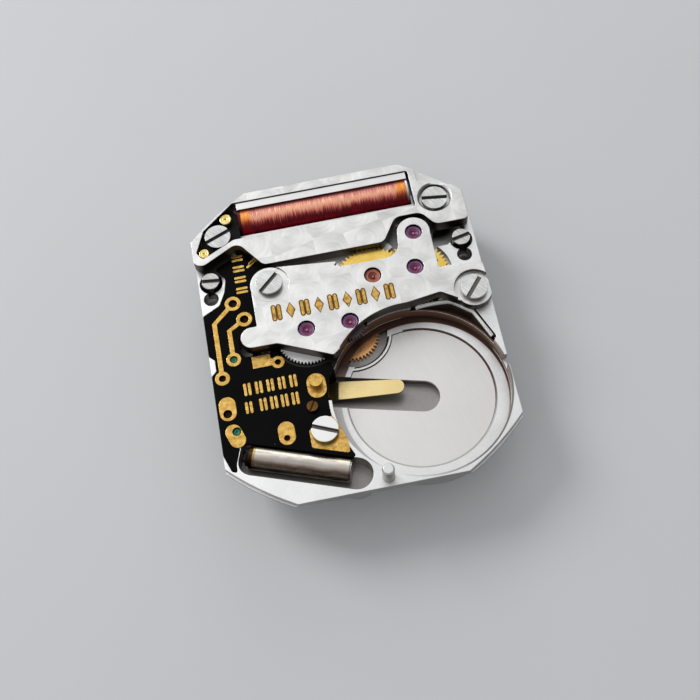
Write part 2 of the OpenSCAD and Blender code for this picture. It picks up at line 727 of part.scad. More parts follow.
module intermediate_pinion() {
    color([0.75, 0.76, 0.78]) at(inter_at)
        pinion(inter_leaves, inter_m, heading(inter_at, third_at), inter_pinion_z,
            third_wheel_z + wheel_t + gap, inter_low);
}
module third_wheel() {
    color([0.83, 0.7, 0.4]) at(third_at)
        wheel(third_teeth, inter_m, heading(third_at, inter_at) + 180 / third_teeth, third_wheel_z, hub_r);
}
// The third pinion and its hub turn on a post of the plate
module third_pinion() {
    color([0.75, 0.76, 0.78]) at(third_at) difference() {
        union() {
            slab(third_pinion_z, 0.9)
                polygon(tooth_points(third_leaves, third_m, heading(third_at, [0, 0]), 0.12, 0.3));
            pin(hub_r, third_pinion_z - 0.03, 1.49);
        }
        pin(third_post_r + run_clear, 0, far);
    }
}
module centre_wheel() {
    color([0.72, 0.4, 0.22])
        wheel(centre_teeth, third_m, heading([0, 0], third_at) + 180 / centre_teeth, centre_wheel_z,
            centre_r + 0.01, 0, 0.1);
}
module centre_arbor() {
    color([0.75, 0.76, 0.78]) {
        pin(cannon_bore_r, -minute_seat_z, recess_z);
        pin(centre_r, recess_z, centre_pinion_z);
        slab(centre_pinion_z, 1.7)
            polygon(tooth_points(centre_leaves, setting_m, heading([0, 0], setting_at), 0.12, 0.3));
        pin(arbor_r, 1.7, arbor_top);
        pin(pivot_r, arbor_top, arbor_top + end_shake + jewel_t - 0.06);
    }
}
module cannon_pinion() {
    color([0.8, 0.8, 0.82]) difference() {
        union() {
            pin(minute_seat_d / 2, -minute_seat_z, -hour_seat_z - gap);
            at([0, 0], -hour_seat_z - gap) cylinder(r1 = minute_seat_d / 2,
                r2 = (minute_seat_d + seat_taper) / 2, h = recess_z - 0.02 + hour_seat_z + gap);
            slab(cannon_z, recess_z - 0.02)
                polygon(tooth_points(cannon_teeth, cannon_m, heading([0, 0], minute_at), 0.12, 0.3));
        }
        pin(cannon_bore_r, -far, far);
    }
}
module setting_wheel() {
    color([0.86, 0.86, 0.87]) at(setting_at)
        wheel(setting_teeth, setting_m, heading(setting_at, [0, 0]) + 180 / setting_teeth, setting_wheel_z,
            arbor_r, 0, 0.05);
}
module setting_arbor() {
    color([0.75, 0.76, 0.78]) at(setting_at) {
        pin(arbor_r, setting_low, arbor_top);
        pin(pivot_r, setting_low - end_shake - jewel_t + 0.06, arbor_top + end_shake + jewel_t - 0.06);
    }
}
module minute_wheel() {
    color([0.83, 0.7, 0.4]) at(minute_at) difference() {
        union() {
            slab(minute_wheel_z, minute_wheel_z + 0.1) polygon(tooth_points(minute_teeth, cannon_m,
                heading(minute_at, [0, 0]) + 180 / minute_teeth));
            slab(cover_t + 0.02, minute_wheel_z)
                polygon(tooth_points(minute_leaves, hour_m, heading(minute_at, [0, 0]), 0.12, 0.3));
        }
        pin(minute_post_r + run_clear, -1, 1);
    }
}
module hour_wheel() {
    color([0.83, 0.7, 0.4]) difference() {
        union() {
            slab(hour_wheel_z, hour_wheel_z + wheel_t) polygon(tooth_points(hour_teeth, hour_m,
                heading([0, 0], minute_at) + 180 / hour_teeth));
            pin(hour_seat_d / 2, -hour_seat_z, -gap);
            at([0, 0], -gap)
                cylinder(r1 = hour_seat_d / 2, r2 = hour_seat_d / 2 + seat_taper, h = hour_wheel_z + gap);
        }
        pin(minute_seat_d / 2 + seat_taper / 2 + run_clear, -far, far);
    }
}

module dial_side_cover() {
    color([0.85, 0.86, 0.87]) difference() {
        slab(0, cover_t) cover_2d();
        pin(hour_seat_d / 2 + 0.04, -1, 1);
        for (p = cover_screw_at) at(p) {
            pin(0.17, -1, 1);
            pin(0.34, -1, 0.1);
        }
    }
}
module cover_screws() {
    color([0.8, 0.81, 0.83]) for (p = cover_screw_at) at(p) rotate([180, 0, 0])
        screw(-0.1, 0.3, 0.15, -0.55, 0.1, 30, 0.08);
}

// The sliding pinion on the line of the winding stem
module sliding_pinion() {
    color([0.7, 0.71, 0.73]) translate([clutch_at, 0, stem_z]) rotate([0, 90, 0]) difference() {
        union() {
            cylinder(r = clutch_r, h = groove_x - groove_w / 2 - clutch_at);
            cylinder(r = groove_r, h = clutch_len);
            translate([0, 0, groove_x + groove_w / 2 - clutch_at])
                linear_extrude(clutch_len - (groove_x + groove_w / 2 - clutch_at))
                    polygon(tooth_points(16, 2 * clutch_r / 18.2, 0));
        }
        translate([-0.14, -0.14, -1]) cube([0.28, 0.28, 3]);
    }
}
module lever(p, tip, w) {
    slab(lever_z, lever_z + lever_t) difference() {
        union() {
            at(p) circle(lever_r);
            polygon([p + [0.3, 0], tip + [w, -0.12], tip + [w, 0], tip + [-w, 0], tip + [-w, -0.12],
                p - [0.3, 0]]);
        }
        at(p) circle(post_r + run_clear);
    }
}
module yoke() { color([0.6, 0.61, 0.63]) lever(yoke_at, [groove_x, -groove_r - 0.04], 0.07); }
module setting_lever() { color([0.6, 0.61, 0.63]) lever(lever_at, [-5.6, -stem_r - 0.1], 0.12); }

// Rings of the tracks: place, outer radius and hole radius
pads = [[[-5.15, 2.32], 0.37, 0.2], [[-4.74, 1.41], 0.37, 0.2], [[-6.13, -1.35], 0.34, 0.16],
    [[-5.5, -0.52], 0.34, 0.18], [[-3.55, -1.05], 0.3, 0.14]];
// Long pads: place, width, length, turn, hole place and hole radius
ovals = [[[-6.1, -2.86], 0.76, 1.15, 0, [-6.13, -3.1], 0.2],
    [[-5.93, -4.2], 0.72, 1.15, 20, [-5.85, -4.0], 0.2],
    [[-3.7, -4.52], 0.74, 1.1, 0, [-3.72, -4.75], 0.14], [[-2.03, -2.55], 0.85, 1.2, 0, post_at, 0.2]];
track_runs = [[[-5.15, 2.32], [-6.13, 1.43], [-6.13, -1.35]], [[-4.74, 1.41], [-5.5, 0.95], [-5.5, -0.52]],
    [[-4.0, -0.84], [-3.55, -1.05]]];

module board_holes_2d() {
    for (p = pads) at(p[0]) circle(p[2]);
    for (o = ovals) at(o[4]) circle(o[5]);
    at(board_screw_at) circle(bridge_shank_d / 2 + 0.02);
    at(stud_at) circle(stud_r);
}
module circuit_board() {
    color([0.04, 0.04, 0.05]) slab(board_z, rim_z) difference() {
        polygon(board_edge);
        board_holes_2d();
    }
}
module circuit_tracks() {
    color([0.86, 0.7, 0.36]) slab(rim_z, rim_z + track_t) difference() {
        union() {
            for (p = pads) at(p[0]) circle(p[1]);
            for (o = ovals) at(o[0]) rotate(o[3]) translate([0, -(o[2] - o[1]) / 2]) rotate(90)
                slot_2d(o[2] - o[1], o[1] / 2);
            for (s = track_runs) polygon(band(s, track_w));
            translate([-4.7, -1.16]) square([0.85, 0.6]);
            polygon(rounded([[-2.72, -4.6, 0.1], [-2.72, -5.42, 0.1], [-1.12, -5.98, 0.1],
                [-1.12, -5.4, 0.1], [-1.4, -4.55, 0.1], [-1.62, -4.08, 0.1]]));
        }
        board_holes_2d();
    }
}
module circuit_chip() {
    color([0.08, 0.08, 0.09]) at(chip_at, board_z - 0.36) translate([-0.75, -0.65, 0]) cube([1.5, 1.3, 0.36]);
}

module on_crystal() {
    at(crystal_mid, can_z) rotate([0, 0, crystal_turn]) rotate([0, 90, 0]) children();
}
module crystal_can() {
    color([0.62, 0.63, 0.65]) on_crystal() {
        pin(can_d / 2, -can_len / 2 + 0.12, can_len / 2 + 0.06);
        pin(can_d / 2 - 0.05, can_len / 2 + 0.06, can_len / 2 + 0.12);
        pin(can_d / 2 - 0.03, -can_len / 2, -can_len / 2 + 0.12);
    }
}
module crystal_base() {
    color([0.2, 0.2, 0.22]) on_crystal() {
        pin(can_d / 2 - 0.12, -can_len / 2 - 0.14, -can_len / 2);
        for (y = [-0.2, 0.2]) translate([0, y, 0]) pin(0.06, -can_len / 2 - 0.34, -can_len / 2 - 0.14);
    }
}

module contact_post() {
    color([0.85, 0.72, 0.42]) at(post_at) {
        pin(0.2, 0.66, rim_z + track_t);
        pin(0.3, rim_z + track_t, 2.12);
    }
}
module board_stud() {
    color([0.62, 0.5, 0.32]) at(stud_at) screw(rim_z, 0.25, stud_r, stud_low, 0.2, 60, 0.08);
}
module circuit_screw() {
    color([0.86, 0.86, 0.87]) at(board_screw_at)
        screw(rim_z + track_t, 0.6, bridge_shank_d / 2, 0.6, 0.32, -24);
}

// The spring under the cell: a side view crossed with its plan
spring_turn = -9.8;
spring_root_z = slot_floor + 0.14 + spring_t / 2;
spring_tip_z = 1.1;
spring_line = [[0.5, spring_root_z], [0.95, spring_root_z + 0.17], [4.1, spring_tip_z]];
module battery_spring() {
    color([0.8, 0.68, 0.42]) at(post_at) rotate([0, 0, spring_turn]) intersection() {
        translate([0, 1, 0]) rotate([90, 0, 0]) linear_extrude(2) polygon(band(spring_line, spring_t));
        slab(0, 2) {
            polygon([[0.5, -0.44], [1.3, -0.44], [3.58, -0.34], [3.58, 0.34], [1.3, 0.42], [0.5, 0.42]]);
            translate([3.58, 0]) circle(0.34);
        }
    }
}
// The foot that the spring bends from, under the circuit board
module spring_foot() {
    color([0.8, 0.68, 0.42]) at(post_at, spring_root_z - spring_t / 2) rotate([0, 0, spring_turn])
        translate([-0.34, -0.42, 0]) cube([0.82, 0.84, spring_t]);
}
module battery_contact() {
    color([0.75, 0.76, 0.78]) difference() {
        slab(ledge_z, rim_z - 0.04) polygon(band(contact_line, spring_t + 0.02));
        at([well_x, well_y]) pin(well_r + well_wall + 0.06, 0, wall_z + 0.01);
    }
}

module train_bridge_screws() {
    color([0.84, 0.85, 0.86]) for (k = [0, 1]) at(train_screw_at[k])
        screw(screw_seat_z[k], bridge_head_d / 2, bridge_shank_d / 2, 0.6, head_t, train_screw_turn[k]);
}
module coil_screws() {
    color([0.84, 0.85, 0.86]) for (k = [0, 1]) at(coil_screw_at[k])
        screw([block_top, 2.02][k], bridge_head_d / 2, bridge_shank_d / 2, 0.6, head_t, coil_screw_turn[k]);
}
module strap_pin() {
    color([0.8, 0.81, 0.83]) {
        strap_taper();
        at(strap_pin_at) {
            pin(strap_pin_r, rim_z + 0.02, strap_pin_top - 0.08);
            translate([0, 0, strap_pin_top - 0.08])
                cylinder(r1 = strap_pin_r, r2 = strap_pin_r - 0.05, h = 0.08);
        }
    }
}
// A dial screw; the flat of its flange lets the dial foot pass
module dial_screw(k, turn) {
    away = heading(dial_screw_at[k], foot_at[k]);
    color([0.72, 0.7, 0.66]) at(dial_screw_at[k]) difference() {
        union() {
            pin(0.22, 0.4, 1.02);
            pin(flange_d / 2, 1.02, 1.2);
            translate([0, 0, 1.2]) cylinder(r1 = flange_d / 2, r2 = 0.36, h = 0.35);
            pin(0.36, 1.55, 1.66);
            pin(0.42, 1.66, 1.96);
        }
        rotate([0, 0, away]) translate([0.43, -1, 1.01]) cube([1, 2, 0.6]);
        rotate([0, 0, turn]) translate([-1, -slot_w / 2, 1.82]) cube([2, slot_w, 1]);
    }
}
module dial_screw_left() { dial_screw(0, -7); }
module dial_screw_right() { dial_screw(1, 13); }

main_plate();
well_disc();
coil_bridge();
train_bridge();
upper_jewels();
lower_jewels();
stator();
coil_core();
coil_carrier();
coil_winding();
coil_end_block();
coil_terminals();
rotor_magnet();
rotor_pinion();
step_wheel();
step_pinion();
intermediate_wheel();
intermediate_pinion();
third_wheel();
third_pinion();
centre_wheel();
centre_arbor();
cannon_pinion();
setting_wheel();
setting_arbor();
minute_wheel();
hour_wheel();
dial_side_cover();
cover_screws();
sliding_pinion();
yoke();
setting_lever();
circuit_board();
circuit_tracks();
circuit_chip();
crystal_can();
crystal_base();
contact_post();
board_stud();
circuit_screw();
battery_spring();
spring_foot();
battery_contact();
train_bridge_screws();
coil_screws();
strap_pin();
dial_screw_left();
dial_screw_right();
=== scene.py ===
# Small quartz watch movement, battery side up: finishes, fine detail, studio light and camera
import bpy
import bmesh
import math
import random
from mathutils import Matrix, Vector


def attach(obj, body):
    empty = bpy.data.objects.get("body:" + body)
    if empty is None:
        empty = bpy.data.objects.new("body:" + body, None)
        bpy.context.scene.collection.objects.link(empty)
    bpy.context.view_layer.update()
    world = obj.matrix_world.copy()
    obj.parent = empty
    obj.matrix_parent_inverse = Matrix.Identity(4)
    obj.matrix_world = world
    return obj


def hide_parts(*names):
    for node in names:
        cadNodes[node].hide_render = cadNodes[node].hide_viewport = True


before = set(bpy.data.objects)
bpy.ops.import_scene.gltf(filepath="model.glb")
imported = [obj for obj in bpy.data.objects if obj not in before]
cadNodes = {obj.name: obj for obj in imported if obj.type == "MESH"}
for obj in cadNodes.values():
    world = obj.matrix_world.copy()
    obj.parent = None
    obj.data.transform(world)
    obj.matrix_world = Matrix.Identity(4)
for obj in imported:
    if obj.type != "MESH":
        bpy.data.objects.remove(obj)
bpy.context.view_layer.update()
mm = 0.001
print("frame loaded:", len(cadNodes), "nodes")


# Shader helpers

def newMaterial(name):
    mat = bpy.data.materials.new(name)
    mat.use_nodes = True
    tree = mat.node_tree
    tree.nodes.clear()
    shader = tree.nodes.new("ShaderNodeBsdfPrincipled")
    out = tree.nodes.new("ShaderNodeOutputMaterial")
    tree.links.new(shader.outputs["BSDF"], out.inputs["Surface"])
    return mat, tree, shader


def groupNode(tree, group, **values):
    node = tree.nodes.new("ShaderNodeGroup")
    node.node_tree = group
    for key, value in values.items():
        node.inputs[key].default_value = value
    return node


def newGroup(name, inputs, outputs):
    group = bpy.data.node_groups.new(name, "ShaderNodeTree")
    for label, value in inputs:
        socket = group.interface.new_socket(label, in_out="INPUT", socket_type="NodeSocketFloat")
        socket.default_value = value
    for label in outputs:
        group.interface.new_socket(label, in_out="OUTPUT", socket_type="NodeSocketFloat")
    start = group.nodes.new("NodeGroupInput")
    end = group.nodes.new("NodeGroupOutput")
    return group, start, end


def mathNode(tree, operation, a, b=0.0, clamp=False):
    node = tree.nodes.new("ShaderNodeMath")
    node.operation = operation
    node.use_clamp = clamp
    for socket, value in zip(node.inputs, (a, b)):
        if isinstance(value, (int, float)):
            socket.default_value = value
        else:
            tree.links.new(value, socket)
    return node.outputs[0]


def vectorNode(tree, operation, a, b):
    node = tree.nodes.new("ShaderNodeVectorMath")
    node.operation = operation
    for socket, value in zip(node.inputs, (a, b)):
        if isinstance(value, tuple):
            socket.default_value = value
        else:
            tree.links.new(value, socket)
    return node.outputs["Value"] if operation in ("LENGTH", "DOT_PRODUCT") else node.outputs["Vector"]


def lengthNode(tree, vector):
    return vectorNode(tree, "LENGTH", vector, (0.0, 0.0, 0.0))


def splitNode(tree, vector):
    node = tree.nodes.new("ShaderNodeSeparateXYZ")
    tree.links.new(vector, node.inputs[0])
    return node.outputs


def turnNode(tree, vector, angle):
    node = tree.nodes.new("ShaderNodeVectorRotate")
    node.rotation_type = "Z_AXIS"
    tree.links.new(vector, node.inputs["Vector"])
    if isinstance(angle, float):
        node.inputs["Angle"].default_value = angle
    else:
        tree.links.new(angle, node.inputs["Angle"])
    return node.outputs[0]


def blendNode(tree, first, second, share, clamp=False):
    # share of the first value, and the rest of the second
    return mathNode(tree, "ADD", mathNode(tree, "MULTIPLY", first, share),
                    mathNode(tree, "MULTIPLY", second, 1.0 - share), clamp=clamp)


def wobbleNode(tree, value, amount):
    # a value round a half becomes one round nought
    return mathNode(tree, "MULTIPLY", mathNode(tree, "SUBTRACT", value, 0.5), amount)


def joinNode(tree, x=0.0, y=0.0, z=0.0):
    node = tree.nodes.new("ShaderNodeCombineXYZ")
    for socket, value in zip(node.inputs, (x, y, z)):
        if isinstance(value, (int, float)):
            socket.default_value = value
        else:
            tree.links.new(value, socket)
    return node.outputs[0]


def noiseNode(tree, vector, scale=1.0, detail=2.0, rough=0.5):
    node = tree.nodes.new("ShaderNodeTexNoise")
    tree.links.new(vector, node.inputs["Vector"])
    node.inputs["Scale"].default_value = scale
    node.inputs["Detail"].default_value = detail
    node.inputs["Roughness"].default_value = rough
    return node.outputs["Fac"]


def rangeNode(tree, value, low, high, toLow=0.0, toHigh=1.0):
    node = tree.nodes.new("ShaderNodeMapRange")
    for socket, item in zip(node.inputs, (value, low, high, toLow, toHigh)):
        if isinstance(item, (int, float)):
            socket.default_value = item
        else:
            tree.links.new(item, socket)
    return node.outputs["Result"]


def mixColours(tree, factor, first, second, blend="MIX"):
    node = tree.nodes.new("ShaderNodeMix")
    node.data_type = "RGBA"
    node.blend_type = blend
    for socket, item in ((node.inputs[0], factor), (node.inputs[6], first), (node.inputs[7], second)):
        if isinstance(item, (int, float)):
            socket.default_value = item
        elif isinstance(item, tuple):
            socket.default_value = (*item, 1.0)
        else:
            tree.links.new(item, socket)
    return node.outputs[2]


def rampNode(tree, value, stops):
    # stops is a list of (place, colour)
    node = tree.nodes.new("ShaderNodeValToRGB")
    tree.links.new(value, node.inputs[0])
    while len(node.color_ramp.elements) < len(stops):
        node.color_ramp.elements.new(0.5)
    for element, (place, colour) in zip(node.color_ramp.elements, stops):
        element.position = place
        element.color = (*colour, 1.0)
    return node.outputs[0]


def millimetres(tree):
    coords = tree.nodes.new("ShaderNodeTexCoord")
    return vectorNode(tree, "MULTIPLY", coords.outputs["Object"], (1 / mm, 1 / mm, 1 / mm))


def faceNormal(tree):
    return tree.nodes.new("ShaderNodeNewGeometry").outputs["True Normal"]


def cellNode(tree, vector, flat=False, randomness=1.0):
    node = tree.nodes.new("ShaderNodeTexVoronoi")
    if flat:
        node.voronoi_dimensions = "2D"
    node.inputs["Scale"].default_value = 1.0
    node.inputs["Randomness"].default_value = randomness
    tree.links.new(vector, node.inputs["Vector"])
    chance = tree.nodes.new("ShaderNodeSeparateColor")
    tree.links.new(node.outputs["Color"], chance.inputs[0])
    return node.outputs, chance.outputs[0]


# Shared effects, each a node group that gives values between 0 and 1

grainShape = {"detail": 3.0, "rough": 0.6, "streaks": (0.3, 0.7), "clouds": (0.32, 0.68)}


def makeGrainField(p):
    # brushed streaks at an angle, and slow clouds under them
    group, start, end = newGroup(
        "grainField",
        [("Length", 1.5), ("Width", 0.04), ("Turn", 0.0), ("Cloud Size", 1.5)],
        ["Streak", "Cloud"])
    place = millimetres(group)
    turned = turnNode(group, place, start.outputs["Turn"])
    alongScale = mathNode(group, "DIVIDE", 1.0, start.outputs["Length"])
    acrossScale = mathNode(group, "DIVIDE", 1.0, start.outputs["Width"])
    stretch = joinNode(group, alongScale, acrossScale, acrossScale)
    streak = noiseNode(group, vectorNode(group, "MULTIPLY", turned, stretch), 1.0, p["detail"], p["rough"])
    group.links.new(rangeNode(group, streak, *p["streaks"]), end.inputs["Streak"])
    cloudScale = mathNode(group, "DIVIDE", 1.0, start.outputs["Cloud Size"])
    cloudPlace = vectorNode(group, "MULTIPLY", place, joinNode(group, cloudScale, cloudScale, cloudScale))
    cloud = noiseNode(group, cloudPlace, 1.0, p["detail"])
    group.links.new(rangeNode(group, cloud, *p["clouds"]), end.inputs["Cloud"])
    return group


ringShape = {"along": 0.6, "detail": 2.0, "rough": 0.6, "rings": (0.3, 0.7)}


def makeTurnedField(p):
    # fine rings left by a turning tool round a centre
    group, start, end = newGroup(
        "turnedField", [("Centre X", 0.0), ("Centre Y", 0.0), ("Width", 0.05)], ["Ring"])
    centre = joinNode(group, start.outputs["Centre X"], start.outputs["Centre Y"], 0.0)
    x, y, _ = splitNode(group, vectorNode(group, "SUBTRACT", millimetres(group), centre))
    radius = lengthNode(group, joinNode(group, x, y, 0.0))
    lines = mathNode(group, "DIVIDE", radius, start.outputs["Width"])
    along = mathNode(group, "MULTIPLY", mathNode(group, "ARCTAN2", y, x), p["along"])
    ring = noiseNode(group, joinNode(group, lines, along, 0.0), 1.0, p["detail"], p["rough"])
    group.links.new(rangeNode(group, ring, *p["rings"]), end.inputs["Ring"])
    return group


swirlShape = {
    "randomness": 0.45, "fans": 2.0, "middle": 2.4, "sheen": 0.7, "alongArc": 0.35, "apart": 40.0,
    "lineLow": 0.3, "lineHigh": 0.7,
}


def makeSwirlField(p):
    # rows of round graining: fine arcs, and a painted sheen that turns with them
    group, start, end = newGroup(
        "swirlField", [("Pitch", 1.5), ("Width", 0.16), ("Turn", 0.2), ("Lean", 0.6)], ["Sheen", "Ring"])
    turned = turnNode(group, millimetres(group), start.outputs["Turn"])
    scale = mathNode(group, "DIVIDE", 1.0, start.outputs["Pitch"])
    place = vectorNode(group, "MULTIPLY", turned, joinNode(group, scale, scale, 0.0))
    cells, chance = cellNode(group, place, flat=True, randomness=p["randomness"])
    x, y, _ = splitNode(group, vectorNode(group, "SUBTRACT", place, cells["Position"]))
    angle = mathNode(group, "ADD", mathNode(group, "ARCTAN2", y, x), start.outputs["Lean"])
    sweep = mathNode(group, "COSINE", mathNode(group, "MULTIPLY", angle, p["fans"]))
    away = mathNode(group, "MULTIPLY", cells["Distance"], p["middle"], clamp=True)
    sheen = rangeNode(group, mathNode(group, "MULTIPLY", sweep, away), -p["sheen"], p["sheen"])
    group.links.new(sheen, end.inputs["Sheen"])
    radius = mathNode(group, "MULTIPLY", cells["Distance"], start.outputs["Pitch"])
    lines = mathNode(group, "DIVIDE", radius, start.outputs["Width"])
    # each round has lines of its own, which change slowly along the arc
    ownLines = joinNode(group, lines, mathNode(group, "MULTIPLY", angle, p["alongArc"]),
                        mathNode(group, "MULTIPLY", chance, p["apart"]))
    ring = rangeNode(group, noiseNode(group, ownLines, 1.0, 1.0), p["lineLow"], p["lineHigh"])
    group.links.new(ring, end.inputs["Ring"])
    return group


def makeUprightField():
    # 1 on walls that stand upright and 0 on faces that lie flat
    group, start, end = newGroup("uprightField", [("Steep", 0.35), ("Flat", 0.6)], ["Upright"])
    level = mathNode(group, "ABSOLUTE", splitNode(group, faceNormal(group))[2])
    upright = rangeNode(group, level, start.outputs["Steep"], start.outputs["Flat"], 1.0, 0.0)
    group.links.new(upright, end.inputs["Upright"])
    return group


def makeSkinField():
    # 1 on the sides and the underside of the movement, and 0 on all that lies inside it
    group, start, end = newGroup("skinField", [("Least", 5.7), ("Down", -0.5)], ["Outer"])
    normal = faceNormal(group)
    outward = vectorNode(group, "DOT_PRODUCT", normal, millimetres(group))
    sides = mathNode(group, "GREATER_THAN", outward, start.outputs["Least"])
    under = mathNode(group, "LESS_THAN", splitNode(group, normal)[2], start.outputs["Down"])
    group.links.new(mathNode(group, "MAXIMUM", sides, under), end.inputs["Outer"])
    return group


wellShadeMasks = {
    "centre": (2.5, -3.66), "radius": 4.0, "clear": 4.01, "rim": 1.69, "low": 0.845, "fade": 0.025,
    "wallDepth": 0.3, "mouthMiddle": 0.03, "mouthWidth": (0.03, 0.06), "mouthLean": (0.25, -0.1, 0.0),
    "ledge": (0.88, 1.0), "ringOffset": (0.15, -0.12, 0.0), "ringEdge": (3.75, 3.78),
    "ledgeInner": -0.6, "fromHands": 2.35, "farLean": (0.3, 1.0, 0.0), "farFrom": -1.0, "farTo": 1.2,
    "facing": (0.6, 1.2), "mouthLift": 0.1, "ringOver": 0.01,
}


def makeHeightField(p):
    # 0 in the deep recesses of the plate and 1 on its faces, and masks round the well, all for painted shade
    group, start, end = newGroup(
        "heightField",
        [("Centre X", p["centre"][0]), ("Centre Y", p["centre"][1]), ("Radius", p["radius"]),
         ("Low", p["low"]), ("High", p["low"] + p["fade"])],
        ["Face", "Wall", "Mouth", "Band", "Far"])
    x, y, z = splitNode(group, millimetres(group))
    flat = joinNode(group, x, y, 0.0)
    group.links.new(rangeNode(group, z, start.outputs["Low"], start.outputs["High"]), end.inputs["Face"])
    centre = joinNode(group, start.outputs["Centre X"], start.outputs["Centre Y"], 0.0)
    away = vectorNode(group, "SUBTRACT", flat, centre)
    outside = mathNode(group, "SUBTRACT", lengthNode(group, away), start.outputs["Radius"])

    # the wall, which faces the middle of the well, and takes a painted dark brown shade
    inward = mathNode(group, "MULTIPLY", vectorNode(group, "DOT_PRODUCT", faceNormal(group), away), -1.0)
    near = mathNode(group, "LESS_THAN", mathNode(group, "ABSOLUTE", outside), p["wallDepth"])
    facing = mathNode(group, "MULTIPLY", rangeNode(group, inward, *p["facing"]), near)
    below = mathNode(group, "LESS_THAN", z, p["rim"])
    group.links.new(mathNode(group, "MULTIPLY", facing, below, clamp=True), end.inputs["Wall"])

    # a thin painted dark line round its mouth, on the side where the light falls in
    thin, wide = p["mouthWidth"]
    fromEdge = mathNode(group, "ABSOLUTE", mathNode(group, "SUBTRACT", outside, p["mouthMiddle"]))
    edge = rangeNode(group, mathNode(group, "MULTIPLY", fromEdge, -1.0), -wide, -thin)
    onRim = mathNode(group, "MULTIPLY", edge, mathNode(group, "GREATER_THAN", z, p["rim"]))
    lean = vectorNode(group, "DOT_PRODUCT", away, p["mouthLean"])
    lit = mathNode(group, "ADD", lean, p["mouthLift"], clamp=True)
    group.links.new(mathNode(group, "MULTIPLY", onRim, lit), end.inputs["Mouth"])

    # the white ring of the ledge lies a little off the middle of the well; the ledge outside and inside it
    # takes a painted shade band, darker on the far side
    ledgeLow, ledgeHigh = p["ledge"]
    onLedge = mathNode(group, "MULTIPLY", mathNode(group, "LESS_THAN", z, ledgeHigh),
                       mathNode(group, "GREATER_THAN", z, ledgeLow))
    ringRadius = lengthNode(group, vectorNode(group, "SUBTRACT", away, p["ringOffset"]))
    outer = mathNode(group, "MULTIPLY", rangeNode(group, ringRadius, *p["ringEdge"]),
                     mathNode(group, "LESS_THAN", outside, p["ringOver"]))
    inner = mathNode(group, "MULTIPLY", mathNode(group, "LESS_THAN", outside, p["ledgeInner"]),
                     mathNode(group, "GREATER_THAN", lengthNode(group, flat), p["fromHands"]))
    paintedBands = mathNode(group, "MAXIMUM", outer, inner)
    group.links.new(mathNode(group, "MULTIPLY", onLedge, paintedBands), end.inputs["Band"])
    far = vectorNode(group, "DOT_PRODUCT", away, p["farLean"])
    group.links.new(rangeNode(group, far, p["farFrom"], p["farTo"]), end.inputs["Far"])
    return group


def makePocketField(well):
    # 1 inside a round patch, between two heights and outside the well, fading over Soft at its rim; it places
    # patches of painted colour, mostly shade
    group, start, end = newGroup(
        "pocketField",
        [("Centre X", 0.0), ("Centre Y", 0.0), ("Radius", 1.0), ("Soft", 0.2), ("Base", 0.0), ("Top", 1.6),
         ("Spare X", well["centre"][0]), ("Spare Y", well["centre"][1]), ("Spare Radius", well["clear"])],
        ["Inside"])
    x, y, z = splitNode(group, millimetres(group))
    flat = joinNode(group, x, y, 0.0)
    centre = joinNode(group, start.outputs["Centre X"], start.outputs["Centre Y"], 0.0)
    away = lengthNode(group, vectorNode(group, "SUBTRACT", flat, centre))
    depth = mathNode(group, "SUBTRACT", start.outputs["Radius"], away)
    inside = mathNode(group, "DIVIDE", depth, start.outputs["Soft"], clamp=True)
    level = mathNode(group, "MULTIPLY", mathNode(group, "LESS_THAN", z, start.outputs["Top"]),
                     mathNode(group, "GREATER_THAN", z, start.outputs["Base"]))
    spare = joinNode(group, start.outputs["Spare X"], start.outputs["Spare Y"], 0.0)
    off = lengthNode(group, vectorNode(group, "SUBTRACT", flat, spare))
    clear = mathNode(group, "GREATER_THAN", off, start.outputs["Spare Radius"])
    between = mathNode(group, "MULTIPLY", level, clear)
    group.links.new(mathNode(group, "MULTIPLY", inside, between), end.inputs["Inside"])
    return group


def makeSpeckField():
    # sparse specks of dust and small nicks
    group, start, end = newGroup("speckField", [("Spacing", 0.5), ("Size", 0.05), ("Bare", 0.6)], ["Speck"])
    scale = mathNode(group, "DIVIDE", 1.0, start.outputs["Spacing"])
    place = vectorNode(group, "MULTIPLY", millimetres(group), joinNode(group, scale, scale, scale))
    cells, chance = cellNode(group, place)
    speck = rangeNode(group, cells["Distance"], start.outputs["Size"], 0.0)
    some = mathNode(group, "GREATER_THAN", chance, start.outputs["Bare"])
    group.links.new(mathNode(group, "MULTIPLY", speck, some, clamp=True), end.inputs["Speck"])
    return group


grainField = makeGrainField(grainShape)
turnedField = makeTurnedField(ringShape)
speckField = makeSpeckField()
swirlField = makeSwirlField(swirlShape)
uprightField = makeUprightField()
skinField = makeSkinField()
heightField = makeHeightField(wellShadeMasks)
pocketField = makePocketField(wellShadeMasks)
print("shader groups built")


def softEdge(tree, radius):
    # rounds sharp edges for the light only
    node = tree.nodes.new("ShaderNodeBevel")
    node.samples = 4
    node.inputs["Radius"].default_value = radius * mm
    return node.outputs["Normal"]


def addBump(tree, shader, height, strength, distance, edge=None):
    bump = tree.nodes.new("ShaderNodeBump")
    bump.inputs["Strength"].default_value = strength
    bump.inputs["Distance"].default_value = distance * mm
    tree.links.new(height, bump.inputs["Height"])
    if edge:
        tree.links.new(softEdge(tree, edge), bump.inputs["Normal"])
    tree.links.new(bump.outputs["Normal"], shader.inputs["Normal"])


def roughFrom(tree, shader, value, low, high):
    # low where the value is 0, and high where it is 1
    tree.links.new(rangeNode(tree, value, 0.0, 1.0, low, high), shader.inputs["Roughness"])


metalWear = {
    "specks": {"Spacing": 0.55, "Size": 0.07}, "darker": 0.45, "streakShare": 0.4, "paintedSheenShare": 0.55,
    "outerWallShade": 0.45, "grainDepth": 0.005,
}


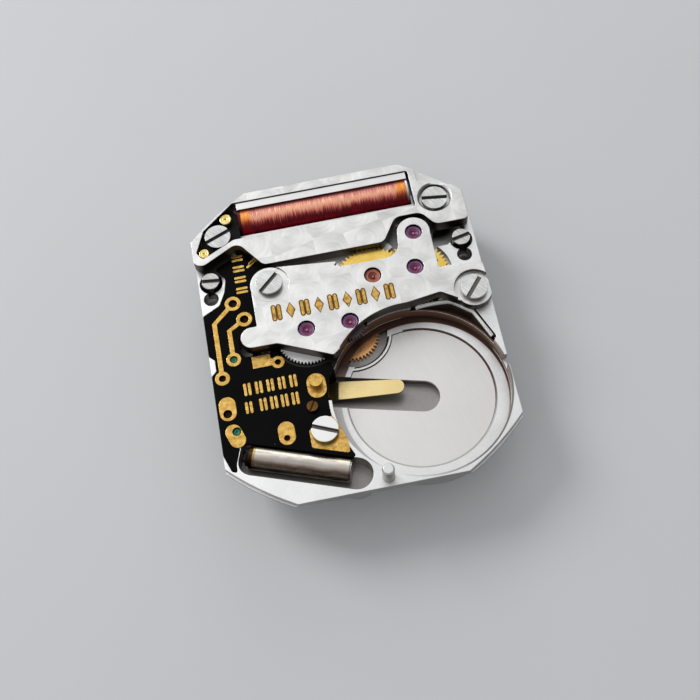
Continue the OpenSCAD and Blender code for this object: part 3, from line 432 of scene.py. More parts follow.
def brushedMetal(name, light, dark, rough=(0.25, 0.4), length=1.5, width=0.07, turn=0.0,
                 cloud=1.2, bump=0.2, edge=0.03, dust=0.25, swirl=None, side=None, deep=None, pockets=(),
                 metal=1.0):
    # swirl holds the pitch, turn and share of round graining with its painted sheen, and side the colour of
    # painted shade on upright walls;
    # deep paints shade on what lies below a height and on the wall, ledge and rim of the well, and pockets
    # paint round patches, mostly shade
    mat, tree, shader = newMaterial(name)
    shader.inputs["Metallic"].default_value = metal
    grain = groupNode(tree, grainField, **{"Length": length, "Width": width,
                                           "Turn": math.radians(turn), "Cloud Size": cloud})
    specks = groupNode(tree, speckField, **metalWear["specks"])
    streak, cloudy = grain.outputs["Streak"], grain.outputs["Cloud"]
    blend = blendNode(tree, streak, cloudy, metalWear["streakShare"], clamp=True)
    height = streak
    if swirl:
        swirls = groupNode(tree, swirlField, **{"Pitch": swirl["pitch"], "Turn": math.radians(swirl["turn"])})
        # painted sheen: the bright and dark fans of Sheen go into the base colour
        fans = blendNode(tree, swirls.outputs["Sheen"], swirls.outputs["Ring"], metalWear["paintedSheenShare"])
        blend = blendNode(tree, fans, cloudy, swirl["share"], clamp=True)
        height = swirls.outputs["Ring"]
    colour = mixColours(tree, blend, dark, light)
    skin = groupNode(tree, skinField)
    inside = mathNode(tree, "SUBTRACT", 1.0, skin.outputs["Outer"])
    # painted shade: upright walls are multiplied by the side colour, the outer walls of grained bridges by
    # less of it
    if side:
        upright = groupNode(tree, uprightField).outputs["Upright"]
        if swirl:
            share = rangeNode(tree, inside, 0.0, 1.0, metalWear["outerWallShade"], 1.0)
            upright = mathNode(tree, "MULTIPLY", upright, share)
        shadedWall = mixColours(tree, 1.0, colour, side, "MULTIPLY")
        colour = mixColours(tree, upright, colour, shadedWall)
    if deep:
        # painted shade: recess floors darker, the well's wall dark brown and not metal, a shade band on the
        # ledge and a dark line round the rim
        levels = groupNode(tree, heightField)
        floor = mixColours(tree, 1.0, colour, deep["floor"], "MULTIPLY")
        face = mathNode(tree, "MAXIMUM", levels.outputs["Face"], skin.outputs["Outer"])
        colour = mixColours(tree, face, floor, colour)
        banded = mixColours(tree, levels.outputs["Far"], deep["nearBandShade"], deep["farBandShade"])
        colour = mixColours(tree, levels.outputs["Band"], colour, banded)
        colour = mixColours(tree, levels.outputs["Mouth"], colour, deep["mouthShade"])
        colour = mixColours(tree, levels.outputs["Wall"], colour, deep["wall"])
        tree.links.new(mathNode(tree, "SUBTRACT", 1.0, levels.outputs["Wall"]), shader.inputs["Metallic"])
    # pockets: round patches of painted colour, most of them shade under bridges and in recesses
    for x, y, radius, soft, base, top, tint in pockets:
        patch = groupNode(tree, pocketField, **{"Centre X": x, "Centre Y": y, "Radius": radius,
                                                "Soft": soft, "Base": base, "Top": top})
        amount = patch.outputs["Inside"]
        if deep:
            amount = mathNode(tree, "MULTIPLY", amount, inside)
        colour = mixColours(tree, amount, colour, tint)
    dusty = mathNode(tree, "MULTIPLY", specks.outputs["Speck"], dust)
    colour = mixColours(tree, dusty, colour, tuple(c * metalWear["darker"] for c in dark))
    tree.links.new(colour, shader.inputs["Base Color"])
    spread = blendNode(tree, streak, cloudy, 0.5)
    roughFrom(tree, shader, spread, rough[1], rough[0])
    addBump(tree, shader, height, bump, metalWear["grainDepth"], edge)
    return mat


turnedWear = {
    "grain": {"Length": 0.9, "Width": 0.07, "Turn": 0.9, "Cloud Size": 0.6}, "ringShare": 0.5,
    "streakShare": 0.55, "slot": (0.14, 0.13, 0.12), "slotDepth": (0.04, 0.1), "bump": (0.2, 0.003, 0.025),
}


def turnedMetal(name, light, dark, rough=(0.12, 0.24), centre=(0.0, 0.0), width=0.06, top=None, metal=1.0):
    # below the level top, in the slots of screws, the metal takes the dark colour of painted slot shade
    mat, tree, shader = newMaterial(name)
    shader.inputs["Metallic"].default_value = metal
    rings = groupNode(tree, turnedField, **{"Centre X": centre[0], "Centre Y": centre[1], "Width": width})
    grain = groupNode(tree, grainField, **turnedWear["grain"])
    tone = blendNode(tree, rings.outputs["Ring"], grain.outputs["Cloud"], turnedWear["ringShare"])
    height = rings.outputs["Ring"]
    if top:
        tone = blendNode(tree, grain.outputs["Streak"], grain.outputs["Cloud"], turnedWear["streakShare"])
        height = grain.outputs["Streak"]
    colour = mixColours(tree, tone, dark, light)
    if top:
        x, _, z = splitNode(tree, millimetres(tree))
        left, right = top.get(False, top.get(True)), top.get(True, top.get(False))
        onRight = mathNode(tree, "GREATER_THAN", x, 0.0)
        face = mathNode(tree, "ADD", mathNode(tree, "MULTIPLY", onRight, right - left), left)
        inSlotShade = rangeNode(tree, mathNode(tree, "SUBTRACT", face, z), *turnedWear["slotDepth"])
        colour = mixColours(tree, inSlotShade, colour, turnedWear["slot"])
    tree.links.new(colour, shader.inputs["Base Color"])
    roughFrom(tree, shader, tone, rough[1], rough[0])
    addBump(tree, shader, height, *turnedWear["bump"])
    return mat


lacquerWear = {
    "grain": {"Length": 0.35, "Width": 0.25, "Turn": 0.0, "Cloud Size": 1.0},
    "specks": {"Spacing": 0.7, "Size": 0.06}, "fleckShare": 0.5, "dustShare": 0.5, "dust": (0.3, 0.29, 0.27),
    "rougher": 0.15, "bump": (0.15, 0.01, 0.02),
}


def lacquer(name, colour, fleck, rough, gloss):
    mat, tree, shader = newMaterial(name)
    grain = groupNode(tree, grainField, **lacquerWear["grain"])
    specks = groupNode(tree, speckField, **lacquerWear["specks"])
    flecked = mathNode(tree, "MULTIPLY", grain.outputs["Cloud"], lacquerWear["fleckShare"])
    dusty = mathNode(tree, "MULTIPLY", specks.outputs["Speck"], lacquerWear["dustShare"])
    base = mixColours(tree, dusty, mixColours(tree, flecked, colour, fleck), lacquerWear["dust"])
    tree.links.new(base, shader.inputs["Base Color"])
    roughFrom(tree, shader, grain.outputs["Streak"], rough, rough + lacquerWear["rougher"])
    shader.inputs["Specular IOR Level"].default_value = gloss
    addBump(tree, shader, grain.outputs["Streak"], *lacquerWear["bump"])
    return mat


stoneWear = {
    "grain": {"Length": 0.2, "Width": 0.12, "Turn": 0.5, "Cloud Size": 0.2}, "wave": 0.12,
    "rough": 0.36, "index": 1.76, "gloss": 0.22, "bump": (0.1, 0.004),
}


def ruby(name, rings):
    # rings runs from the hole to the rim of the stone, as a share of its radius; its light and dark rings are
    # painted light and shade
    mat, tree, shader = newMaterial(name)
    coords = tree.nodes.new("ShaderNodeTexCoord")
    x, y, _ = splitNode(tree, vectorNode(tree, "SUBTRACT", coords.outputs["Generated"], (0.5, 0.5, 0.0)))
    grain = groupNode(tree, grainField, **stoneWear["grain"])
    wave = wobbleNode(tree, grain.outputs["Cloud"], stoneWear["wave"])
    radius = mathNode(tree, "MULTIPLY", lengthNode(tree, joinNode(tree, x, y, 0.0)), 2.0)
    colour = rampNode(tree, mathNode(tree, "ADD", radius, wave), rings)
    tree.links.new(colour, shader.inputs["Base Color"])
    shader.inputs["Roughness"].default_value = stoneWear["rough"]
    shader.inputs["IOR"].default_value = stoneWear["index"]
    shader.inputs["Specular IOR Level"].default_value = stoneWear["gloss"]
    addBump(tree, shader, grain.outputs["Streak"], *stoneWear["bump"])
    return mat


coilBands = {
    "low": 5.95, "high": 7.35, "middle": -0.1, "waxFrom": 3.5, "waxTo": 3.62, "shift": 0.22, "wave": 0.12,
    "grain": {"Length": 0.03, "Width": 1.6, "Cloud Size": 1.0}, "metal": 0.35, "rough": 0.32,
    "bump": (0.35, 0.006),
}


def winding(name, paintedBands, paintedEndBands, p):
    # lacquered wire: painted bands of highlight and shade run along the coil, and each turn shifts them a
    # little
    mat, tree, shader = newMaterial(name)
    shader.inputs["Metallic"].default_value = p["metal"]
    turns = groupNode(tree, grainField, **p["grain"])
    x, y, _ = splitNode(tree, millimetres(tree))
    shift = wobbleNode(tree, turns.outputs["Streak"], p["shift"])
    wave = wobbleNode(tree, turns.outputs["Cloud"], p["wave"])
    across = rangeNode(tree, y, p["low"], p["high"])
    uneven = mathNode(tree, "ADD", mathNode(tree, "ADD", across, shift), wave)
    along = mathNode(tree, "ABSOLUTE", mathNode(tree, "SUBTRACT", x, p["middle"]))
    atEnd = rangeNode(tree, mathNode(tree, "ADD", along, shift), p["waxFrom"], p["waxTo"])
    colour = mixColours(tree, atEnd, rampNode(tree, uneven, paintedBands), rampNode(tree, uneven, paintedEndBands))
    tree.links.new(colour, shader.inputs["Base Color"])
    shader.inputs["Roughness"].default_value = p["rough"]
    addBump(tree, shader, turns.outputs["Streak"], *p["bump"])
    return mat


canPlace = {
    "centre": (-3.42, -5.9, 0.0), "turn": -19.5, "halfWidth": 0.56, "rough": (0.2, 0.34),
    "brownReflection": (0.6, 0.52, 0.46), "reflectionShare": 0.55, "shift": 0.1, "bump": (0.3, 0.004, 0.05),
    "grain": {"Length": 2.4, "Width": 0.06, "Cloud Size": 0.9},
    # the crimped collar at one end, and the lines in front of it
    "collar": [(-1.92, (0.75, 0.6, 0.32)), (-2.02, (0.12, 0.1, 0.07)), (-2.08, (0.9, 0.8, 0.5))],
}


def rolledCan(name, paintedBands, p):
    # drawn metal case: painted bands of highlight and shade along it, broken up by streaks of painted brown
    # reflection that follow it
    mat, tree, shader = newMaterial(name)
    shader.inputs["Metallic"].default_value = 1.0
    turn = math.radians(-p["turn"])
    away = vectorNode(tree, "SUBTRACT", millimetres(tree), p["centre"])
    x, y, _ = splitNode(tree, turnNode(tree, away, turn))
    streaks = groupNode(tree, grainField, Turn=turn, **p["grain"])
    across = rangeNode(tree, y, -p["halfWidth"], p["halfWidth"])
    shift = wobbleNode(tree, streaks.outputs["Cloud"], p["shift"])
    banded = rampNode(tree, mathNode(tree, "ADD", across, shift), paintedBands)
    brownReflection = mixColours(tree, 1.0, banded, p["brownReflection"], "MULTIPLY")
    colour = mixColours(tree, mathNode(tree, "MULTIPLY", streaks.outputs["Streak"], p["reflectionShare"]), banded, brownReflection)
    for place, tint in p["collar"]:
        shaded = mixColours(tree, 1.0, colour, tint, "MULTIPLY")
        colour = mixColours(tree, mathNode(tree, "LESS_THAN", x, place), colour, shaded)
    tree.links.new(colour, shader.inputs["Base Color"])
    roughFrom(tree, shader, streaks.outputs["Streak"], *p["rough"])
    addBump(tree, shader, streaks.outputs["Streak"], *p["bump"])
    return mat


def screwTops(node):
    # height of the heads left (False) and right (True) of the middle
    heads = {}
    for v in cadNodes[node].data.vertices:
        side = v.co.x > 0
        heads[side] = max(heads.get(side, 0.0), v.co.z / mm)
    return heads


# side colours in the finishes below are painted shade on upright walls
finishes = {
    "plate": brushedMetal("platedPlate", (0.9, 0.9, 0.88), (0.72, 0.72, 0.71), (0.34, 0.46),
                          length=0.16, width=0.1, turn=12, cloud=1.6, bump=0.22, side=(0.55, 0.53, 0.52),
                          deep={"floor": (0.4, 0.38, 0.37), "wall": (0.13, 0.06, 0.038),
                                "mouthShade": (0.2, 0.19, 0.18), "nearBandShade": (0.5, 0.49, 0.47),
                                "farBandShade": (0.11, 0.06, 0.045)},
                          # painted shade under the setting wheel, beside both ends of the coil bridge and
                          # round the contact; the last two paint the low bumps under the front edge grey like
                          # the shaded table, in place of its reflection
                          pockets=[(-2.0, -0.1, 2.5, 0.06, 0.0, 1.72, (0.03, 0.027, 0.025)),
                                   (-5.6, 4.55, 1.1, 0.35, 0.0, 1.75, (0.05, 0.045, 0.04)),
                                   (5.0, 4.9, 1.0, 0.3, 0.0, 1.75, (0.08, 0.07, 0.06)),
                                   (4.5, -0.5, 2.4, 0.2, 0.8, 1.5, (0.1, 0.06, 0.045)),
                                   (2.6, -9.0, 1.5, 0.2, -1.0, 0.8, (0.8, 0.8, 0.8)),
                                   (-0.6, -9.0, 1.5, 0.2, -1.0, 0.8, (0.8, 0.8, 0.8))]),
    "cover": brushedMetal("platedCover", (0.84, 0.84, 0.82), (0.68, 0.68, 0.67), (0.34, 0.46),
                          length=0.16, width=0.1, turn=12, cloud=1.6, bump=0.22),
    "bridge": brushedMetal("grainedBridge", (0.92, 0.91, 0.89), (0.6, 0.6, 0.58), (0.26, 0.4),
                           cloud=0.9, edge=0.045, bump=0.15,
                           swirl={"pitch": 1.5, "turn": -14, "share": 0.55}, side=(0.12, 0.1, 0.09)),
    "coilBridge": brushedMetal("grainedCoilBridge", (0.92, 0.91, 0.89), (0.54, 0.54, 0.52), (0.26, 0.4),
                               cloud=1.1, edge=0.045, bump=0.15,
                               swirl={"pitch": 1.7, "turn": -9, "share": 0.6}, side=(0.12, 0.1, 0.09)),
    # painted shade: its walls and the gap at the left end of the coil are painted dark red
    "carrier": brushedMetal("carrierStrip", (0.86, 0.85, 0.83), (0.66, 0.65, 0.64), (0.3, 0.42),
                            length=2.0, width=0.08, cloud=1.2, side=(0.3, 0.02, 0.06),
                            pockets=[(-4.2, 6.6, 0.9, 0.05, 0.0, 2.29, (0.14, 0.02, 0.03))]),
    "steel": turnedMetal("polishedSteel", (0.8, 0.8, 0.78), (0.56, 0.56, 0.55)),
    # painted shade on the part of the contact below 1.53 mm, outside the well
    "contact": brushedMetal("contactStrip", (1.0, 0.99, 0.97), (0.9, 0.89, 0.87), (0.3, 0.45), turn=-20,
                            edge=None, metal=0.2,
                            pockets=[(4.6, -0.6, 3.0, 0.1, 0.0, 1.53, (0.06, 0.04, 0.03))]),
    "pin": brushedMetal("pinSteel", (0.86, 0.86, 0.84), (0.7, 0.7, 0.69), (0.25, 0.35), turn=30,
                        side=(0.42, 0.4, 0.39)),
    "coilScrews": turnedMetal("coilScrewSteel", (0.92, 0.92, 0.9), (0.5, 0.5, 0.49),
                              top=screwTops("coil_screws")),
    "trainScrews": turnedMetal("trainScrewSteel", (0.92, 0.92, 0.9), (0.5, 0.5, 0.49),
                               top=screwTops("train_bridge_screws")),
    "dialScrews": turnedMetal("dialScrewSteel", (0.84, 0.83, 0.8), (0.42, 0.41, 0.39),
                              top=screwTops("dial_screw_left")),
    "whiteScrew": turnedMetal("whiteScrew", (0.92, 0.92, 0.9), (0.8, 0.8, 0.78), (0.3, 0.4), (-2.03, -4.78),
                              top=screwTops("circuit_screw")),
    # pivot ends painted dark and pinkish, as shade in the jewel holes
    "shadedPivotSteel": brushedMetal("shadedPivotSteel", (0.34, 0.29, 0.3), (0.2, 0.17, 0.18), (0.5, 0.65), turn=30),
    "darkSteel": brushedMetal("plainSteel", (0.42, 0.41, 0.4), (0.28, 0.27, 0.27), (0.35, 0.5), turn=90),
    "gilt": turnedMetal("giltWheel", (1.0, 0.74, 0.2), (0.8, 0.5, 0.08), (0.18, 0.32), (1.45, 2.09), 0.07),
    "gold": brushedMetal("goldPlate", (1.0, 0.67, 0.19), (0.4, 0.19, 0.03), (0.2, 0.36),
                         length=0.14, width=0.1, cloud=0.22, bump=0.5, edge=0.03, dust=0.15,
                         side=(0.4, 0.28, 0.16)),
    "terminalGold": brushedMetal("terminalGold", (1.0, 0.82, 0.36), (0.72, 0.46, 0.12), (0.16, 0.3),
                                 length=0.14, width=0.1, cloud=0.3, bump=0.2, edge=None, dust=0.1),
    "springGold": brushedMetal("springGold", (0.84, 0.68, 0.34), (0.7, 0.54, 0.24), (0.25, 0.35),
                               length=2.5, width=0.06, turn=9.8, cloud=1.0, edge=0.03, dust=0.05,
                               side=(0.3, 0.22, 0.12)),
    "copperWheel": turnedMetal("copperWheel", (0.95, 0.52, 0.24), (0.72, 0.34, 0.12), (0.2, 0.35),
                               width=0.05),
    "silverWheel": turnedMetal("silverWheel", (1.0, 1.0, 0.98), (0.86, 0.86, 0.85), (0.25, 0.35),
                               (-2.0, 0.03), 0.05, metal=0.2),
    "board": lacquer("blackBoard", (0.0012, 0.0012, 0.0015), (0.004, 0.0038, 0.0036), 0.18, 0.05),
    "plastic": lacquer("blackPlastic", (0.003, 0.003, 0.004), (0.008, 0.008, 0.009), 0.3, 0.1),
    "holeShade": lacquer("holeShade", (0.02, 0.009, 0.003), (0.05, 0.022, 0.008), 0.4, 0.05),
    "disc": brushedMetal("greyDisc", (0.76, 0.74, 0.71), (0.7, 0.68, 0.66), (0.42, 0.52),
                         length=2.0, width=0.12, turn=75, cloud=2.5, bump=0.08, edge=0.02, dust=0.2),
    "can": rolledCan("drawnCan", [
        (0.0, (0.05, 0.045, 0.04)), (0.1, (0.5, 0.44, 0.38)), (0.22, (0.26, 0.17, 0.13)),
        (0.36, (0.52, 0.47, 0.43)), (0.5, (0.6, 0.57, 0.52)), (0.6, (0.9, 0.88, 0.82)),
        (0.7, (0.5, 0.44, 0.36)), (0.84, (0.62, 0.62, 0.58)), (0.95, (0.2, 0.19, 0.17))],
        canPlace),
    "stud": turnedMetal("brownStud", (0.2, 0.1, 0.03), (0.07, 0.035, 0.012), (0.3, 0.45), (-2.38, -3.55)),
    "engraved": brushedMetal("engravedGilt", (0.95, 0.6, 0.16), (0.2, 0.09, 0.015), (0.22, 0.4),
                             length=0.14, width=0.1, cloud=0.2, bump=0.6, edge=None, dust=0.0),
    "ruby": ruby("purpleRuby", [
        (0.0, (0.2, 0.04, 0.1)), (0.16, (0.02, 0.002, 0.012)), (0.28, (0.36, 0.04, 0.16)),
        (0.4, (0.06, 0.004, 0.03)), (0.5, (0.28, 0.05, 0.16)), (0.6, (0.05, 0.004, 0.04)),
        (0.7, (0.27, 0.1, 0.24)), (0.8, (0.22, 0.08, 0.2)), (0.9, (0.04, 0.006, 0.04)),
        (1.0, (0.015, 0.003, 0.02))]),
    "warmRuby": ruby("warmRuby", [
        (0.0, (0.01, 0.0, 0.002)), (0.22, (0.07, 0.006, 0.01)), (0.34, (0.42, 0.06, 0.03)),
        (0.46, (0.12, 0.01, 0.012)), (0.62, (0.5, 0.16, 0.06)), (0.76, (0.4, 0.13, 0.07)),
        (0.88, (0.14, 0.02, 0.04)), (1.0, (0.03, 0.004, 0.012))]),
    # copper wire: both ramps are painted highlight and shade across the coil, the second on the orange
    # lacquer at its ends
    "copperWire": winding("copperWire", [
        (0.0, (0.5, 0.01, 0.03)), (0.07, (0.14, 0.004, 0.01)), (0.18, (0.36, 0.025, 0.035)),
        (0.26, (0.9, 0.24, 0.17)), (0.36, (1.0, 0.52, 0.32)), (0.46, (0.92, 0.4, 0.27)),
        (0.56, (0.6, 0.21, 0.17)), (0.7, (0.38, 0.12, 0.1)), (0.88, (0.34, 0.09, 0.08)),
        (1.0, (0.2, 0.04, 0.04))], [
        (0.0, (0.5, 0.01, 0.02)), (0.1, (0.2, 0.008, 0.01)), (0.24, (0.55, 0.07, 0.02)),
        (0.36, (1.0, 0.36, 0.05)), (0.5, (0.95, 0.34, 0.06)), (0.7, (0.7, 0.2, 0.04)),
        (1.0, (0.4, 0.09, 0.03))], coilBands),
    "greenMask": lacquer("greenMask", (0.0, 0.12, 0.06), (0.01, 0.2, 0.1), 0.3, 0.4),
}

nodeFinish = {
    "main_plate": "plate", "coil_bridge": "coilBridge", "train_bridge": "bridge", "coil_carrier": "carrier",
    "coil_screws": "coilScrews", "train_bridge_screws": "trainScrews",
    "dial_screw_left": "dialScrews", "dial_screw_right": "dialScrews",
    "dial_side_cover": "cover", "well_disc": "disc", "upper_jewels": "ruby", "lower_jewels": "ruby",
    "stator": "darkSteel", "coil_core": "darkSteel", "coil_winding": "copperWire",
    "coil_end_block": "plastic", "coil_terminals": "gold", "rotor_magnet": "darkSteel",
    "step_wheel": "gilt", "intermediate_wheel": "gilt", "third_wheel": "gilt", "minute_wheel": "gilt",
    "centre_arbor": "shadedPivotSteel", "intermediate_pinion": "shadedPivotSteel", "rotor_pinion": "shadedPivotSteel",
    "setting_arbor": "shadedPivotSteel", "step_pinion": "shadedPivotSteel", "hour_wheel": "gilt",
    "centre_wheel": "copperWheel", "setting_wheel": "silverWheel",
    "yoke": "darkSteel", "setting_lever": "darkSteel", "circuit_board": "board", "circuit_tracks": "gold",
    "circuit_chip": "plastic", "crystal_can": "can", "crystal_base": "plastic", "contact_post": "gold",
    "board_stud": "stud", "circuit_screw": "whiteScrew", "battery_spring": "springGold",
    "spring_foot": "springGold", "battery_contact": "contact", "strap_pin": "pin",
}
for name, obj in cadNodes.items():
    finish = finishes[nodeFinish.get(name, "steel")]
    if not obj.data.materials:
        obj.data.materials.append(finish)
    for index in range(len(obj.data.materials)):
        obj.data.materials[index] = finish
print("finishes:", len(finishes))


# Mesh helpers

def newObject(name, data):
    obj = bpy.data.objects.new(name, data)
    bpy.context.scene.collection.objects.link(obj)
    return obj


def pointInto(bm, x, y, z):
    # a vertex from millimetres
    return bm.verts.new((x * mm, y * mm, z * mm))


def addPiece(name, bm, finish, body, nodesReplaced=(), smooth=True):
    mesh = bpy.data.meshes.new(name)
    bmesh.ops.recalc_face_normals(bm, faces=bm.faces[:])
    bm.to_mesh(mesh)
    bm.free()
    obj = newObject(name, mesh)
    mesh.materials.append(finishes[finish])
    if smooth:
        mesh.shade_smooth()
    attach(obj, body)
    if nodesReplaced:
        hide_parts(*nodesReplaced)


def bridgeRings(bm, here, there):
    # faces between two closed rings of points
    for i in range(len(here)):
        j = (i + 1) % len(here)
        bm.faces.new((here[i], there[i], there[j], here[j]))


def turnSteps(steps):
    return [2 * math.pi * k / steps for k in range(steps)]


def latheInto(bm, profile, centre, steps=48):
    # profile is a closed list of (radius, height)
    rings = []
    for angle in turnSteps(steps):
        rings.append([pointInto(bm, centre[0] + r * math.cos(angle), centre[1] + r * math.sin(angle), z)
                      for r, z in profile])
    for k in range(steps):
        bridgeRings(bm, rings[k], rings[(k + 1) % steps])


def tubeInto(bm, rings):
    for a, b in zip(rings, rings[1:]):
        bridgeRings(bm, a, b)
    bm.faces.new(rings[0])
    bm.faces.new(rings[-1][::-1])


def prismInto(bm, outline, low, high):
    # outline is a list of (x, y)
    floor = [pointInto(bm, x, y, low) for x, y in outline]
    roof = [pointInto(bm, x, y, high) for x, y in outline]
    bm.faces.new(floor[::-1])
    bm.faces.new(roof)
    bridgeRings(bm, floor, roof)


def roundBar(centre, length, width, turn, steps=6):
    # outline of a bar with round ends
    points = []
    half = (length - width) / 2
    for side, base in ((1, -90), (-1, 90)):
        for k in range(steps + 1):
            angle = math.radians(base + 180 * k / steps)
            points.append((side * half + width / 2 * math.cos(angle), width / 2 * math.sin(angle)))
    c, s = math.cos(math.radians(turn)), math.sin(math.radians(turn))
    return [(centre[0] + x * c - y * s, centre[1] + x * s + y * c) for x, y in points]


# Coil: real turns of wire

coilParts = {
    "centreX": -0.1, "length": 8.06, "y": 6.65, "z": 1.52, "radius": 0.715, "most": 0.719,
    "turns": 150, "ringsPerTurn": 4, "steps": 64, "wireBulge": 0.006, "wander": 0.006, "seed": 4,
}


def buildWinding(p):
    rnd = random.Random(p["seed"])
    bm = bmesh.new()
    count = p["turns"] * p["ringsPerTurn"]
    wander = [rnd.uniform(-1, 1) * p["wander"] for _ in range(p["turns"] + 1)]
    rings = []
    for i in range(count + 1):
        share = i / count
        x = p["centreX"] - p["length"] / 2 + share * p["length"]
        turn = min(i // p["ringsPerTurn"], p["turns"])
        bulge = abs(math.sin(math.pi * i / p["ringsPerTurn"]))
        radius = p["radius"] - p["wireBulge"] + p["wireBulge"] * bulge + wander[turn]
        radius = min(radius, p["most"])
        rings.append([pointInto(bm, x, p["y"] + radius * math.cos(angle), p["z"] + radius * math.sin(angle))
                      for angle in turnSteps(p["steps"])])
    tubeInto(bm, rings)
    addPiece("windingTurns", bm, "copperWire", "movement", ["coil_winding"])


buildWinding(coilParts)
print("coil wound")


# Terminals: turned gold studs with a small dimple

terminals = {
    "places": {"upper": ((-4.83, 6.6), 0.29), "lower": ((-6.07, 4.95), 0.25)},
    "low": 1.99, "high": 2.26, "edge": 0.03, "dimple": 0.05, "inset": 0.002, "axis": 0.0001, "steps": 40,
    "face": [(0.7, 0.004), (0.62, 0.02), (0.5, 0.006), (0.3, 0.01)],  # share of the radius, depth
}


def buildTerminals(p):
    for name, (place, radius) in p["places"].items():
        bm = bmesh.new()
        outer, top = radius - p["inset"], p["high"]
        profile = [(p["axis"], p["low"]), (outer, p["low"]), (outer, top - p["edge"]),
                   (radius - p["edge"], top - p["inset"])]
        profile += [(radius * share, top - depth) for share, depth in p["face"]]
        latheInto(bm, profile + [(p["axis"], top - p["dimple"])], place, p["steps"])
        addPiece("terminal_" + name, bm, "terminalGold", "movement", ["coil_terminals"])


buildTerminals(terminals)


# Jewels: turned stones with an oil sink, sunk in the train bridge

jewelParts = {
    "places": {"rotor": (3.75, 3.95), "step": (3.45, 2.12), "intermediate": (1.45, 2.09),
               "centre": (0.0, 0.0), "setting": (-2.0, 0.03)},
    "warm": "intermediate", "base": 2.03, "top": 2.25, "radius": 0.4, "hole": 0.065,
    # radius and depth below the top, from the rim of the stone to the hole
    "sink": [(0.4, 0.03), (0.388, 0.008), (0.36, 0.0), (0.3, 0.0), (0.285, 0.022), (0.265, 0.025),
             (0.25, 0.01), (0.2, 0.035), (0.14, 0.075), (0.08, 0.1), (0.065, 0.115)],
}


def buildJewels(p):
    profile = [(p["hole"], p["base"]), (p["radius"], p["base"])]
    profile += [(radius, p["top"] - depth) for radius, depth in p["sink"]]
    for name, place in p["places"].items():
        bm = bmesh.new()
        latheInto(bm, profile, place)
        finish = "warmRuby" if name == p["warm"] else "ruby"
        addPiece("jewel_" + name, bm, finish, "movement", ["upper_jewels"])


buildJewels(jewelParts)
print("jewels set")


# Bars and lozenges cut in the train bridge, with a dark rim round the gilt

bridgeMarks = {
    "start": (-3.2, 1.1), "step": 0.655, "count": 9, "height": 0.74, "barWidth": 0.13, "apart": 0.12,
    "halfLozenge": 0.17, "rim": 0.055, "bottom": 2.3, "rimTop": 2.352, "fillTop": 2.356,
}


def buildBridgeMarks(p):
    for layer, finish, grow, top in (("Cut", "stud", p["rim"], p["rimTop"]),
                                     ("Fill", "engraved", 0.0, p["fillTop"])):
        bm = bmesh.new()
        reach = p["height"] / 2 + grow
        for k in range(p["count"]):
            x, y = p["start"][0] + k * p["step"], p["start"][1]
            if k % 2:
                half = p["halfLozenge"] + grow
                outlines = [[(x - half, y), (x, y - reach), (x + half, y), (x, y + reach)]]
            else:
                outlines = [roundBar((x + side, y), 2 * reach, p["barWidth"] + 2 * grow, 90)
                            for side in (-p["apart"], p["apart"])]
            for outline in outlines:
                prismInto(bm, outline, p["bottom"], top)
        addPiece("bridgeMark" + layer, bm, finish, "movement", smooth=False)


buildBridgeMarks(bridgeMarks)

contactWire = {
    "path": [(3.1, 0.36), (3.22, 0.4), (3.6, 0.42), (4.2, 0.42), (4.6, 0.38), (4.8, 0.31), (5.62, -0.37),
             (6.18, -1.7)],
    "height": 1.61, "radius": 0.06, "steps": 12,
}


def buildContactWire(p):
    # the rolled upper edge of the contact, which catches the light
    bm = bmesh.new()
    rings = []
    last = len(p["path"]) - 1
    for k, (x, y) in enumerate(p["path"]):
        a, b = p["path"][max(k - 1, 0)], p["path"][min(k + 1, last)]
        along = Vector((b[0] - a[0], b[1] - a[1], 0.0)).normalized()
        side = Vector((-along.y, along.x, 0.0))
        rings.append([pointInto(bm, x + side.x * p["radius"] * math.cos(angle),
                                y + side.y * p["radius"] * math.cos(angle),
                                p["height"] + p["radius"] * math.sin(angle))
                      for angle in turnSteps(p["steps"])])
    tubeInto(bm, rings)
    addPiece("contactWire", bm, "contact", "movement")


buildContactWire(contactWire)
print("contact edge laid")

boardMarks = {  # columns and rows: start, step, count, length, turn
    "top": 1.722, "bottom": 1.69, "width": 0.13, "apart": 0.1,
    "columns": [((-4.62, 4.68), (0.0, -0.58), 4, 0.56, 0), ((-3.98, 4.3), (0.0, -0.5), 1, 0.5, 35)],
    "rows": [((-5.1, -2.1), (0.52, 0.0), 5, 0.62, 90), ((-5.15, -2.98), (0.5, 0.0), 1, 0.58, 90),
             ((-4.5, -2.96), (0.48, 0.0), 4, 0.62, 90)],
}


def buildBoardMarks(p):
    bm = bmesh.new()
    for (x, y), (stepX, stepY), count, length, turn in p["columns"] + p["rows"]:
        across = (p["apart"] * math.sin(math.radians(turn)), p["apart"] * math.cos(math.radians(turn)))
        for k in range(count):
            for side in (-1, 1):
                middle = (x + k * stepX + side * across[0], y + k * stepY + side * across[1])
                prismInto(bm, roundBar(middle, length, p["width"], turn), p["bottom"], p["top"])
    addPiece("boardMarks", bm, "gold", "movement", smooth=False)


buildBoardMarks(boardMarks)

holeFills = {
    "green": (((-5.5, -0.52), 0.18), ((-5.85, -4.0), 0.2)),
    "shadeDisc": (((-6.13, -3.1), 0.2), ((-4.74, 1.41), 0.2), ((-5.15, 2.32), 0.2), ((-6.13, -1.35), 0.16),
              ((-3.72, -4.75), 0.14), ((-3.55, -1.05), 0.14)),
    "low": 1.5, "greenTop": 1.66, "shadeDiscTop": 1.6, "axis": 0.0001, "edge": 0.02, "dome": 0.7, "dip": 0.01,
    "steps": 32,
}


